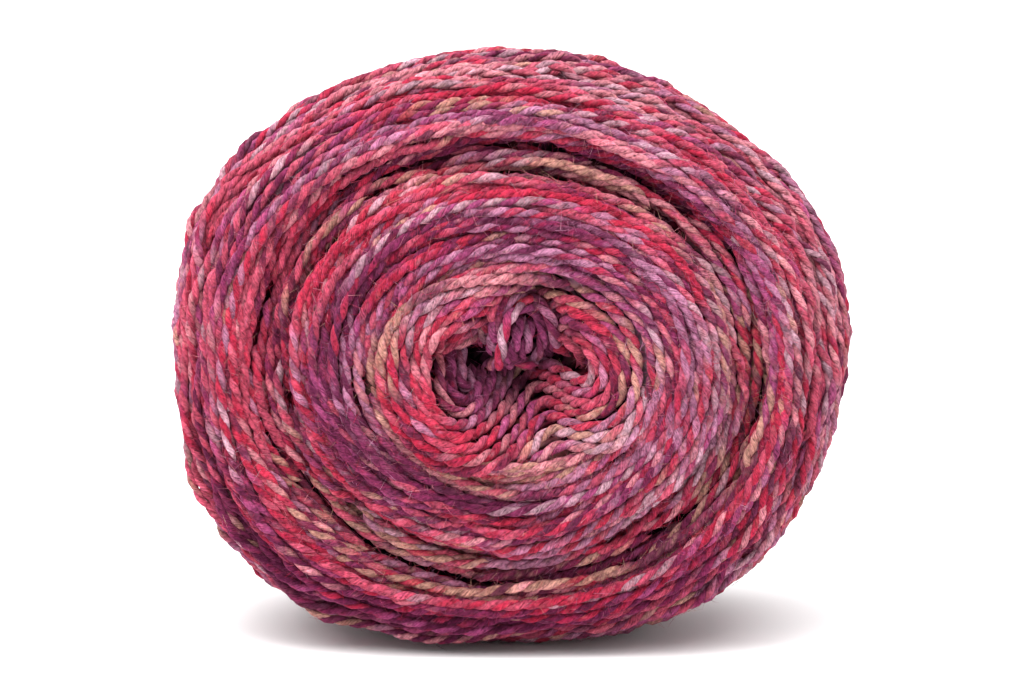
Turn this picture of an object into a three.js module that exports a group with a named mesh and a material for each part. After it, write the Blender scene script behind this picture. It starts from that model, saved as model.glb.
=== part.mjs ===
// A wound cake of two-ply yarn, standing on its rim with one end towards -Y.
// Millimetres, +Z up. The origin is the middle of the base of the body's bounding box.
// The body is one solid: a squashed roll with a flat spot underneath, a domed inner cake,
// a valley all round it, the shoulder of the outer wrap, the rim, a plainer back, and a
// core that has fallen in to an S-shaped slit. The loose inner end hooks over in the core.
import * as THREE from "three";

// Driving dimensions.
const WIDTH = 132; // across the rim
const HEIGHT = 114; // from the flat spot to the top
const DEPTH = 95; // from the front dome to the back dome
const YARN = 2.4; // the yarn's diameter
const GAP = 0.45; // between the loose end and the wound body

// How the rim differs from an ellipse, as shares of its radius.
const BULGE = 0.036; // fuller at the diagonals
const SAG = 0.042; // more so below
const LEAN = 0.03; // and at the left
const FLAT_PRESS = 0.4; // how far the floor has pressed the underside up

// Mesh steps.
const SEGMENTS = 72;
const CORE_ROWS = 15;
const FRONT_ROWS = 35;
const RIM_ROWS = 14;
const BACK_ROWS = 13;

// Each row of these tables is a ring of the winding. across and up are its half sizes and
// lift its height in front of the rim's middle plane, as shares of half the width, height
// and depth; shift moves its middle towards +X, in millimetres.
const CORE = [
  { across: 0, up: 0, shift: 3.2, lift: 0.8 },
  { across: 0.083, up: 0.055, shift: 3.2, lift: 0.81 },
  { across: 0.159, up: 0.11, shift: 3.3, lift: 0.85 },
  { across: 0.235, up: 0.176, shift: 3.6, lift: 0.91 },
  { across: 0.311, up: 0.255, shift: 3.9, lift: 0.955 },
];

// The end face that shows, from the core out to the shoulder.
const FRONT = [
  { across: 0.311, up: 0.255, shift: 3.9, lift: 0.955 },
  { across: 0.386, up: 0.348, shift: 3.5, lift: 0.982 },
  { across: 0.462, up: 0.448, shift: 2.6, lift: 0.992 },
  { across: 0.538, up: 0.533, shift: 1.8, lift: 0.982 },
  { across: 0.602, up: 0.61, shift: 1.5, lift: 0.944 },
  { across: 0.646, up: 0.657, shift: 1.5, lift: 0.876 },
  { across: 0.674, up: 0.684, shift: 1.5, lift: 0.805 },
  { across: 0.712, up: 0.718, shift: 1.4, lift: 0.796 },
  { across: 0.762, up: 0.765, shift: 1, lift: 0.862 },
  { across: 0.819, up: 0.825, shift: 0.5, lift: 0.872 },
  { across: 0.897, up: 0.907, shift: 0, lift: 0.758 },
];

// The rim, from the front shoulder to the back one.
const RIM = [
  { across: 0.897, up: 0.907, shift: 0, lift: 0.758 },
  { across: 0.949, up: 0.952, shift: 0, lift: 0.6 },
  { across: 0.983, up: 0.984, shift: 0, lift: 0.4 },
  { across: 0.997, up: 1, shift: 0, lift: 0.2 },
  { across: 1, up: 1, shift: 0, lift: 0 },
  { across: 0.995, up: 0.998, shift: 0, lift: -0.2 },
  { across: 0.979, up: 0.983, shift: 0, lift: -0.41 },
  { across: 0.942, up: 0.95, shift: 0, lift: -0.59 },
  { across: 0.885, up: 0.9, shift: 0, lift: -0.73 },
];

// The far end, from its shoulder to its middle.
const BACK = [
  { across: 0.885, up: 0.9, shift: 0, lift: -0.73 },
  { across: 0.795, up: 0.819, shift: 0, lift: -0.85 },
  { across: 0.682, up: 0.71, shift: 0, lift: -0.93 },
  { across: 0.545, up: 0.569, shift: 0, lift: -0.985 },
  { across: 0.409, up: 0.417, shift: 0, lift: -1 },
  { across: 0.28, up: 0.272, shift: 0, lift: -0.97 },
  { across: 0.174, up: 0.155, shift: 0, lift: -0.9 },
  { across: 0.083, up: 0.069, shift: 0, lift: -0.82 },
  { across: 0, up: 0, shift: 0, lift: -0.79 },
];

// The line of the slit that the core has fallen in to, seen from the front: x and height
// above the cake's axis.
const SLIT = [
  { x: -13.4, z: 2.2 },
  { x: -9.4, z: 1.9 },
  { x: -5.2, z: 1 },
  { x: -1.4, z: -0.6 },
  { x: 3.2, z: -1.2 },
  { x: 7.2, z: 1 },
  { x: 10.8, z: 0.5 },
  { x: 14.6, z: -0.6 },
];
const SLIT_DEPTH = 7.5;
const SLIT_REACH = 2.2; // how far its sides spread
const SLIT_STEPS = 48;

// Lumps and hollows around the slit. rise is along -Y, towards the viewer.
const CORE_FORMS = [
  { name: "left pocket", x: -8, z: -3.6, wide: 4.6, high: 4.6, rise: -3.4 },
  { name: "left upper lobe", x: -7.6, z: 5.6, wide: 5.4, high: 3, rise: 1.6 },
  { name: "right lobe", x: 13, z: 4.4, wide: 3.8, high: 3.2, rise: 3.4 },
  { name: "hump", x: 8, z: -4.2, wide: 7, high: 2.9, rise: 4.4 },
  { name: "recess of the loose end", x: 4.2, z: 5.2, wide: 4.8, high: 5.6, rise: -6 },
  { name: "lower left bank", x: -2.2, z: -9.6, wide: 5, high: 3.6, rise: 1.6 },
];
const CORE_EDGE = { from: 17, to: 27 }; // the rings over which the core's forms fade out

// Main twists: where the winding's bands stand proud. They fade in over the rings of enter
// and out over those of leave, or, on the rim, over that distance from its middle plane.
const FACE_TWIST = { proud: 0.6, pitch: 8, starts: 4, enter: [15, 24], leave: [55, 60] };
const RIM_TWIST = { proud: 0.6, pitch: 9.4, starts: 12, leave: [24, 33] };
const BACK_TWIST = { proud: 0.5, pitch: 7.2, starts: 4, enter: [8, 18], leave: [50, 57] };

// The rings over which the outline changes from the valley's plain ellipse to the rim's.
const OUTLINE_EDGE = { from: 44, to: 62 };

// Slow lumps of the whole winding.
const LUMPS = { height: 0.28, from: 20, to: 40, drift: 14 };

// The loose inner end: from deep in the slit, up the right side, over and down at the left.
// forward is the distance in front of the rim's middle plane.
const LOOSE_END = [
  { x: 3.4, z: -2, forward: 28.6 },
  { x: 4.4, z: -1.2, forward: 30.7 },
  { x: 5.5, z: -0.2, forward: 32.7 },
  { x: 6.6, z: 1.1, forward: 34.6 },
  { x: 7.4, z: 3, forward: 36 },
  { x: 7.6, z: 5.3, forward: 36.8 },
  { x: 7.2, z: 7.9, forward: 37.4 },
  { x: 6, z: 10, forward: 38.9 },
  { x: 4.3, z: 10.9, forward: 41.1 },
  { x: 2.5, z: 10.2, forward: 43.4 },
  { x: 1.2, z: 8.1, forward: 45 },
  { x: 0.6, z: 5.5, forward: 45.7 },
  { x: 0.2, z: 3.1, forward: 45.5 },
  { x: -0.3, z: 0.9, forward: 44.6 },
  { x: -1.1, z: -1, forward: 43.2 },
];
const LOOSE_END_SIDES = 8;
const LOOSE_END_STEPS = 40;
const TROUGH_SLOPE = 1.6; // of the body's sides beside the loose end
const TROUGH_CHECKS = 60;

const WOUND_COLOUR = 0xa8466c;
const LOOSE_COLOUR = 0x8a4f86;

const TURN = 2 * Math.PI;

// 0 up to a range's first value, 1 from its second.
function fade(value, [from, to]) {
  return THREE.MathUtils.smoothstep(value, from, to);
}

// count rows spaced evenly along the smooth curve through a table's rings. Each holds the
// ring's half sizes, its shift and forward distance, and the way out of the surface there.
function ringsAlong(table, count) {
  const line = new THREE.CatmullRomCurve3(
    table.map(
      (r) => new THREE.Vector3(r.across * (WIDTH / 2), r.up * (HEIGHT / 2), r.lift * (DEPTH / 2)),
    ),
  );
  const shifts = new THREE.CatmullRomCurve3(
    table.map((r) => new THREE.Vector3(r.shift, 0, 0)),
  );
  return Array.from({ length: count + 1 }, (_, i) => {
    const t = line.getUtoTmapping(i / count);
    const at = line.getPoint(t);
    const way = line.getTangent(t);
    const outward = new THREE.Vector2(-way.z, Math.hypot(way.x, way.y) * Math.sign(way.x || 1));
    outward.normalize();
    return {
      across: at.x,
      up: at.y,
      shift: shifts.getPoint(t).x,
      forward: at.z,
      outward: outward.x,
      ahead: outward.y,
      along: (i / count) * line.getLength(),
    };
  });
}

// The rim's radius over an ellipse's, at an angle anticlockwise from +X.
function outlineSwell(angle) {
  const diagonal = Math.sin(2 * angle) ** 2;
  return 1 + diagonal * (BULGE - SAG * Math.sin(angle) - LEAN * Math.cos(angle));
}

// Slow lumps of the winding, in millimetres.
function lumps(angle, ring) {
  const around = Math.sin(3 * angle + 0.7) + 0.6 * Math.sin(5 * angle - ring.forward / LUMPS.drift);
  return LUMPS.height * around * fade(ring.across, [LUMPS.from, LUMPS.to]);
}

// The height of a band of the winding as it spirals across the rings.
function twistHeight(ring, angle, twist) {
  const wave = Math.sin(TURN * (ring.along / twist.pitch) - twist.starts * angle);
  return twist.proud * twist.share(ring) * wave;
}

// The depth that the slit takes from the core at a point of the face.
const slitLine = new THREE.SplineCurve(SLIT.map((p) => new THREE.Vector2(p.x, p.z)));
const slitPoints = slitLine.getPoints(SLIT_STEPS);
function slitDepth(x, z) {
  const here = new THREE.Vector2(x, z);
  const away = Math.min(...slitPoints.map((p) => p.distanceTo(here)));
  return SLIT_DEPTH * Math.exp(-((away / SLIT_REACH) ** 2));
}

// How far the lumps and hollows of the core stand out at a point of the face.
function coreRise(x, z) {
  const forms = CORE_FORMS.map(
    (f) => f.rise * Math.exp(-(((x - f.x) / f.wide) ** 2) - ((z - f.z) / f.high) ** 2),
  );
  return forms.reduce((sum, rise) => sum + rise, 0) - slitDepth(x, z);
}

// The loose end's centreline in the part's frame, with the cake's axis at half its height.
const looseEnd = new THREE.CatmullRomCurve3(
  LOOSE_END.map((p) => new THREE.Vector3(p.x, -p.forward, HEIGHT / 2 + p.z)),
);

// The body lies in a trough under the loose end, so that the two stay clear of each other.
const looseEndPoints = looseEnd.getPoints(TROUGH_CHECKS);
function underLooseEnd(x, z, forward) {
  const clear = YARN / 2 + GAP;
  const limits = looseEndPoints.map((p) => {
    const beside = Math.max(0, Math.hypot(x - p.x, z + HEIGHT / 2 - p.z) - clear);
    return -p.y - clear + TROUGH_SLOPE * beside;
  });
  return Math.min(forward, ...limits);
}

// The point of the body on a ring, at an angle anticlockwise from +X seen from the front.
function bodyPoint(ring, angle, twist) {
  const share = fade(ring.across, [OUTLINE_EDGE.from, OUTLINE_EDGE.to]);
  const swell = 1 + share * (outlineSwell(angle) - 1);
  const proud = lumps(angle, ring) + twistHeight(ring, angle, twist);
  const pressed = angle > Math.PI ? FLAT_PRESS * share * Math.sin(angle) ** 2 : 0;
  const x = ring.shift + (ring.across * swell + proud * ring.outward) * Math.cos(angle);
  const z = ((ring.up + pressed) * swell + proud * ring.outward) * Math.sin(angle);
  let forward = ring.forward + proud * ring.ahead;
  if (ring.forward > 0) {
    forward += coreRise(x, z) * (1 - fade(ring.across, [CORE_EDGE.from, CORE_EDGE.to]));
    forward = underLooseEnd(x, z, forward);
  }
  return new THREE.Vector3(x, -forward, Math.max(z, -HEIGHT / 2) + HEIGHT / 2);
}

// The zones of the body from the middle of the front to the middle of the back.
const ZONES = [
  { table: CORE, rows: CORE_ROWS, twist: { ...FACE_TWIST, proud: 0, share: () => 0 } },
  {
    table: FRONT,
    rows: FRONT_ROWS,
    twist: {
      ...FACE_TWIST,
      share: (r) => fade(r.across, FACE_TWIST.enter) * (1 - fade(r.across, FACE_TWIST.leave)),
    },
  },
  {
    table: RIM,
    rows: RIM_ROWS,
    twist: { ...RIM_TWIST, share: (r) => 1 - fade(Math.abs(r.forward), RIM_TWIST.leave) },
  },
  {
    table: BACK,
    rows: BACK_ROWS,
    twist: {
      ...BACK_TWIST,
      share: (r) => fade(r.across, BACK_TWIST.enter) * (1 - fade(r.across, BACK_TWIST.leave)),
    },
  },
];

// The wound body as one closed solid: a lathe about the axis, with each ring then given its
// own outline, twists and core.
function woundYarn() {
  const rings = ZONES.flatMap(({ table, rows, twist }, zone) =>
    ringsAlong(table, rows)
      .slice(zone ? 1 : 0)
      .map((ring) => ({ ring, twist })),
  );
  const profile = rings.map(({ ring }) => new THREE.Vector2(ring.across, -ring.forward));
  const geometry = new THREE.LatheGeometry(profile, SEGMENTS);
  const place = geometry.attributes.position;
  for (let i = 0; i < place.count; i++) {
    const { ring, twist } = rings[i % rings.length];
    const angle = TURN * (1 - Math.floor(i / rings.length) / SEGMENTS);
    const point = bodyPoint(ring, ring.across ? angle : 0, twist);
    place.setXYZ(i, point.x, point.y, point.z);
  }
  geometry.deleteAttribute("normal");
  geometry.deleteAttribute("uv");
  return geometry;
}

// The loose inner end: a round section carried along its centreline.
function innerEnd() {
  const corners = Array.from({ length: LOOSE_END_SIDES }, (_, i) => {
    const turn = (i / LOOSE_END_SIDES) * TURN;
    return new THREE.Vector2(Math.cos(turn), Math.sin(turn)).multiplyScalar(YARN / 2);
  });
  return new THREE.ExtrudeGeometry(new THREE.Shape(corners), {
    steps: LOOSE_END_STEPS,
    extrudePath: looseEnd,
  });
}

function named(name, geometry, colour) {
  const material = new THREE.MeshStandardMaterial({ color: colour, roughness: 0.95, metalness: 0 });
  const mesh = new THREE.Mesh(geometry, material);
  mesh.name = name;
  return mesh;
}

const wound = named("wound_yarn", woundYarn(), WOUND_COLOUR);
const box = new THREE.Box3().setFromObject(wound);
const middle = box.getCenter(new THREE.Vector3());
const cake = new THREE.Group();
cake.add(wound, named("inner_end", innerEnd(), LOOSE_COLOUR));
for (const part of cake.children) part.position.set(-middle.x, -middle.y, -box.min.z);

export default cake;
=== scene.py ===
"""A squat cake of marled two-ply yarn that stands on its rim with one end to the front.

Shapes are worked out in millimetres and become metres when they turn into meshes. Every
place on the cake is given by along, the distance from the middle of the front over the
shoulder, the rim and the far shoulder to the middle of the back, and by angle, which turns
anticlockwise from the right as seen from the front.
"""

from __future__ import annotations

import logging
import math
from dataclasses import dataclass, field
from enum import Enum
from typing import NamedTuple

import bpy
import numpy as np
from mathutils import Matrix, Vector


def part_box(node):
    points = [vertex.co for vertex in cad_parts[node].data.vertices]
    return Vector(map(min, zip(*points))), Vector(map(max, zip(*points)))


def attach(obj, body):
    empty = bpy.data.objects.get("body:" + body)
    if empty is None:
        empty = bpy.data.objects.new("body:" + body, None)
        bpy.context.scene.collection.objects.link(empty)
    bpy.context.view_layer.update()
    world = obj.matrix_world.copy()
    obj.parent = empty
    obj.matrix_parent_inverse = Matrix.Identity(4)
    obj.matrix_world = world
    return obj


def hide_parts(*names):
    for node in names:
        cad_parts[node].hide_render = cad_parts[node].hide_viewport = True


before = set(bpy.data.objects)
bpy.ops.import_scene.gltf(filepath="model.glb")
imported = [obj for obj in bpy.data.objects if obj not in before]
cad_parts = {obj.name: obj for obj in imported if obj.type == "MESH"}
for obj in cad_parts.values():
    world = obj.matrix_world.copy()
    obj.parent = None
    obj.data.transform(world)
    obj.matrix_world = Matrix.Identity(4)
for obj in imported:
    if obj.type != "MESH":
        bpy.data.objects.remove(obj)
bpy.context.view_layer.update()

LOG = logging.getLogger("yarn_cake")
MM = 0.001
TURN = 2 * math.pi
SECTION_SHARE = 0.96
SECTION_SAMPLES = 7
REST_ROUNDS = 3
NOISE_RANGE = (0.3, 0.7)
Array = np.ndarray


def smoothstep(value: Array, low: float, high: float) -> Array:
    """Return 0 up to low, 1 from high, and a smooth rise between."""
    share = np.clip((value - low) / (high - low), 0.0, 1.0)
    return share * share * (3 - 2 * share)


def catmull_rom(rows: Array, per_span: int) -> Array:
    """Return the smooth curve through rows, with per_span points for each span.

    Args:
        rows: one control point in each row, with any number of columns.
        per_span: how many points each span between two rows gets.

    Returns:
        The points of the curve, ends included.
    """
    rows = np.asarray(rows, dtype=float)
    ends = np.vstack([2 * rows[0] - rows[1], rows, 2 * rows[-1] - rows[-2]])
    t = (np.arange(per_span) / per_span)[:, None, None]
    before, a, b, after = (ends[i : i + len(rows) - 1] for i in range(4))
    curve = 0.5 * (
        2 * a
        + (b - before) * t
        + (2 * before - 5 * a + 4 * b - after) * t**2
        + (3 * a - before - 3 * b + after) * t**3
    )
    return np.vstack([curve.transpose(1, 0, 2).reshape(-1, rows.shape[1]), rows[-1]])


def distances(points: Array) -> Array:
    """Return how far along a line each of its points lies."""
    steps = np.linalg.norm(np.diff(points, axis=0), axis=1)
    return np.concatenate([[0.0], np.cumsum(steps)])


def evenly(points: Array, step: float) -> Array:
    """Return points about step apart along a line of any number of columns."""
    run = distances(points[:, :3])
    count = max(4, int(round(run[-1] / step)) + 1)
    at = np.linspace(0, run[-1], count)
    return np.stack([np.interp(at, run, column) for column in points.T], axis=1)


def smooth_along(values: Array, sigma: float) -> Array:
    """Return values blurred by a bell curve of sigma samples, with the ends held."""
    reach = max(1, int(3 * sigma))
    bell = np.exp(-0.5 * (np.arange(-reach, reach + 1) / sigma) ** 2)
    padded = np.pad(values, reach, mode="edge")
    return np.convolve(padded, bell / bell.sum(), mode="valid")


def unit(vectors: Array) -> Array:
    """Return vectors at length one."""
    return vectors / np.maximum(np.linalg.norm(vectors, axis=-1, keepdims=True), 1e-9)


def section_arch(radius: float) -> tuple[Array, Array]:
    """Return places across a round section, and how high its edge stands over its middle."""
    offsets = np.linspace(-SECTION_SHARE, SECTION_SHARE, SECTION_SAMPLES) * radius
    return offsets, np.sqrt(radius**2 - offsets**2)


def rest_line(held: Array, give: float, bend: float) -> Array:
    """Return the smooth line that a strand takes over the heights that hold it up.

    Args:
        held: the height at which each sample would rest by itself.
        give: how far the strand may sink into what holds it.
        bend: how stiff the strand is, in samples.

    Returns:
        The height of the strand at each sample.
    """
    height = held
    for _ in range(REST_ROUNDS):
        height = np.maximum(held - give, smooth_along(height, bend))
    return smooth_along(height, bend / 2)


class Ring(NamedTuple):
    """One ring of the winding, in shares of half the width, height and depth."""

    across: float
    up: float
    shift: float
    lift: float


class Form(NamedTuple):
    """A lump or hollow of the core, in millimetres on the face."""

    x: float
    z: float
    wide: float
    high: float
    rise: float


RINGS = (
    Ring(0, 0, 3.2, 0.8),
    Ring(0.083, 0.055, 3.2, 0.81),
    Ring(0.159, 0.11, 3.3, 0.85),
    Ring(0.235, 0.176, 3.6, 0.91),
    Ring(0.311, 0.255, 3.9, 0.955),
    Ring(0.386, 0.348, 3.5, 0.982),
    Ring(0.462, 0.448, 2.6, 0.992),
    Ring(0.538, 0.533, 1.8, 0.982),
    Ring(0.602, 0.61, 1.5, 0.944),
    Ring(0.646, 0.657, 1.5, 0.876),
    Ring(0.674, 0.684, 1.5, 0.805),
    Ring(0.712, 0.718, 1.4, 0.796),
    Ring(0.762, 0.765, 1, 0.862),
    Ring(0.819, 0.825, 0.5, 0.872),
    Ring(0.897, 0.907, 0, 0.758),
    Ring(0.949, 0.952, 0, 0.6),
    Ring(0.983, 0.984, 0, 0.4),
    Ring(0.997, 1, 0, 0.2),
    Ring(1, 1, 0, 0),
    Ring(0.995, 0.998, 0, -0.2),
    Ring(0.979, 0.983, 0, -0.41),
    Ring(0.942, 0.95, 0, -0.59),
    Ring(0.885, 0.9, 0, -0.73),
    Ring(0.795, 0.819, 0, -0.85),
    Ring(0.682, 0.71, 0, -0.93),
    Ring(0.545, 0.569, 0, -0.985),
    Ring(0.409, 0.417, 0, -1),
    Ring(0.28, 0.272, 0, -0.97),
    Ring(0.174, 0.155, 0, -0.9),
    Ring(0.083, 0.069, 0, -0.82),
    Ring(0, 0, 0, -0.79),
)
CORE_FORMS = (
    Form(-8, -3.6, 4.6, 4.6, -3.4),
    Form(-7.6, 5.6, 5.4, 3, 1.6),
    Form(13, 4.4, 3.8, 3.2, 3.4),
    Form(8, -4.2, 7, 2.9, 4.4),
    Form(4.2, 5.2, 4.8, 5.6, -6),
    Form(-2.2, -9.6, 5, 3.6, 1.6),
)
SLIT = (
    (-13.4, 2.2),
    (-9.4, 1.9),
    (-5.2, 1.0),
    (-1.4, -0.6),
    (3.2, -1.2),
    (7.2, 1.0),
    (10.8, 0.5),
    (14.6, -0.6),
)
LOOSE_END = (
    (3.4, -2.0, 28.6),
    (4.4, -1.2, 30.7),
    (5.5, -0.2, 32.7),
    (6.6, 1.1, 34.6),
    (7.4, 3.0, 36.0),
    (7.6, 5.3, 36.8),
    (7.2, 7.9, 37.4),
    (6.0, 10.0, 38.9),
    (4.3, 10.9, 41.1),
    (2.5, 10.2, 43.4),
    (1.2, 8.1, 45.0),
    (0.6, 5.5, 45.7),
    (0.2, 3.1, 45.5),
    (-0.3, 0.9, 44.6),
    (-1.1, -1.0, 43.2),
)


@dataclass
class CakeShape:
    """The outer form of the cake, as a fine grid of places and outward directions.

    The grid has a row for each half millimetre along and a column for each half degree.
    """

    width: float = 132
    height: float = 114
    depth: float = 95
    bulge: float = 0.036
    sag: float = 0.042
    lean: float = 0.03
    flat_press: float = 0.4
    outline_edge: tuple[float, float] = (44, 62)
    core_edge: tuple[float, float] = (17, 27)
    slit_depth: float = 7.5
    slit_reach: float = 2.2
    slit_detail: int = 6
    lump_height: float = 0.28
    lump_edge: tuple[float, float] = (20, 40)
    lump_waves: tuple[int, int] = (3, 5)
    lump_start: float = 0.7
    lump_second: float = 0.6
    lump_twist: float = 14
    trough_clear: float = 1.65
    trough_slope: float = 1.6
    trough_detail: int = 4
    ring_detail: int = 24
    row_step: float = 0.5
    columns: int = 720
    least_reach: float = 1.0
    blur: tuple[int, int] = (5, 7)
    pole_rows: int = 8
    places: Array = field(init=False)
    outward: Array = field(init=False)
    reach: Array = field(init=False)
    across: Array = field(init=False)
    middle: Array = field(init=False)

    def __post_init__(self) -> None:
        """Work out the grid and line it up with the CAD body."""
        half = np.array([self.width / 2, self.height / 2, self.depth / 2])
        rows = np.array([(r.across, r.up, r.lift, r.shift) for r in RINGS])
        rows[:, :3] *= half
        profile = evenly(catmull_rom(rows, self.ring_detail), self.row_step)
        self.row_step = distances(profile[:, :3])[-1] / (len(profile) - 1)
        self.across = profile[:, 0]
        angles = np.linspace(0, TURN, self.columns, endpoint=False)
        self.middle = np.zeros(3)
        self.places = self._surface(profile, angles)
        low, high = (np.array(c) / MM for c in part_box("wound_yarn"))
        mine = (self.places.min(axis=(0, 1)) + self.places.max(axis=(0, 1))) / 2
        self.middle = (low + high) / 2 - mine
        self.middle[2] = low[2] - self.places[..., 2].min()
        self.places += self.middle
        self._directions()

    @property
    def rows(self) -> int:
        """Return how many rows the grid has."""
        return len(self.places)

    @property
    def face_centre(self) -> Array:
        """Return the place on the rim's middle plane that face coordinates start from."""
        return self.middle + np.array([0, 0, self.height / 2])

    def along_of(self, across: float, front: bool = True) -> float:
        """Return how far along a ring lies.

        Args:
            across: the ring's half width.
            front: whether the ring is on the front rather than the back.

        Returns:
            The distance from the middle of the front.
        """
        peak = int(np.argmax(self.across))
        if front:
            return float(np.interp(across, self.across[:peak], np.arange(peak))) * self.row_step
        back = self.across[peak:][::-1]
        return (self.rows - 1 - float(np.interp(across, back, np.arange(len(back))))) * self.row_step

    def _surface(self, profile: Array, angles: Array) -> Array:
        """Return the places of the whole grid, before it is lined up with the CAD body.

        A ring is an ellipse whose radius swells at the diagonals by the square of the sine
        of twice the angle. The front gains the core's lumps less the slit, and the floor
        cuts the underside off flat.

        Args:
            profile: half width, half height, way ahead and shift to the right of each row.
            angles: the angle of each column.

        Returns:
            A place for each row and column.
        """
        across, up, ahead, shift = (profile[:, i, None] for i in range(4))
        cosine, sine = np.cos(angles), np.sin(angles)
        share = smoothstep(across, *self.outline_edge)
        skew = self.bulge - self.sag * sine - self.lean * cosine
        swell = 1 + share * np.sin(2 * angles) ** 2 * skew
        pressed = self.flat_press * share * np.where(sine < 0, sine**2, 0)
        first, second = self.lump_waves
        twisted = second * angles - ahead / self.lump_twist
        around = np.sin(first * angles + self.lump_start) + self.lump_second * np.sin(twisted)
        lumps = self.lump_height * around * smoothstep(across, *self.lump_edge)
        x = shift + (across * swell + lumps) * cosine
        z = ((up + pressed) * swell + lumps) * sine
        front = ahead > 0
        fade = np.where(front, 1 - smoothstep(across, *self.core_edge), 0)
        ahead = ahead + fade * self._core_rise(x, z)
        ahead = np.where(front & (across < self.core_edge[1]), self.under_end(x, z, ahead), ahead)
        z = np.maximum(z, -self.height / 2) + self.height / 2
        return np.stack([x, -ahead, z], axis=-1)

    def _core_rise(self, x: Array, z: Array) -> Array:
        """Return how far the core stands out at places of the face."""
        rise = sum(f.rise * np.exp(-(((x - f.x) / f.wide) ** 2) - ((z - f.z) / f.high) ** 2)
                   for f in CORE_FORMS)
        slit = catmull_rom(SLIT, self.slit_detail)
        away = np.min([np.hypot(x - px, z - pz) for px, pz in slit], axis=0)
        return rise - self.slit_depth * np.exp(-((away / self.slit_reach) ** 2))

    def under_end(self, x: Array, z: Array, ahead: Array) -> Array:
        """Return ahead, lowered to a trough under the loose end.

        Args:
            x: how far right of the face's middle each place lies.
            z: how far above the face's middle each place lies.
            ahead: how far in front of the rim's middle plane each place lies.

        Returns:
            The lowered ahead.
        """
        line = catmull_rom(LOOSE_END, self.trough_detail)
        limits = [
            pf - self.trough_clear
            + self.trough_slope * np.maximum(0, np.hypot(x - px, z - pz) - self.trough_clear)
            for px, pz, pf in line
        ]
        return np.minimum(ahead, np.min(limits, axis=0))

    def _directions(self) -> None:
        """Work out the outward directions, and the millimetres for each radian of angle."""
        down = np.gradient(self.places, self.row_step, axis=0)
        wrapped = np.concatenate([self.places[:, -1:], self.places, self.places[:, :1]], axis=1)
        round_ = (wrapped[:, 2:] - wrapped[:, :-2]) / (2 * TURN / self.columns)
        self.reach = np.maximum(np.linalg.norm(round_, axis=-1), self.least_reach)
        out = unit(np.cross(down, round_))
        for axis, width in enumerate(self.blur):
            bell = np.hanning(width + 2)[1:-1]
            wide = np.concatenate([out[:, -width:], out, out[:, :width]], axis=1)
            wide = np.apply_along_axis(np.convolve, axis, wide, bell / bell.sum(), mode="same")
            out = wide[:, width:-width]
        pole = np.minimum(np.arange(self.rows), np.arange(self.rows)[::-1])[:, None, None]
        facing = np.where(np.arange(self.rows) < self.rows / 2, -1.0, 1.0)[:, None, None]
        near = np.clip(1 - pole / self.pole_rows, 0, 1)
        self.outward = unit(out * (1 - near) + near * facing * np.array([0.0, 1.0, 0.0]))

    def look(self, grid: Array, along: Array, angle: Array) -> Array:
        """Return the grid's values between its nearest four cells.

        Args:
            grid: one or more values for each row and column.
            along: how far along the cake each place lies.
            angle: the angle of each place.

        Returns:
            The values at the places.
        """
        row = np.clip(along / self.row_step, 0, self.rows - 1.001)
        column = (angle / TURN % 1) * self.columns
        i, j = row.astype(int), column.astype(int) % self.columns
        u, v = row - i, column - np.floor(column)
        if grid.ndim == 3:
            u, v = u[..., None], v[..., None]
        k = (j + 1) % self.columns
        return (grid[i, j] * (1 - u) + grid[i + 1, j] * u) * (1 - v) + (
            grid[i, k] * (1 - u) + grid[i + 1, k] * u
        ) * v


@dataclass
class Strand:
    """A length of yarn: its middle line, which way is out, and where it lies on the cake."""

    line: Array
    out: Array
    along: Array
    angle: Array

    @property
    def length(self) -> float:
        """Return its length in millimetres."""
        return float(distances(self.line)[-1])


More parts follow.
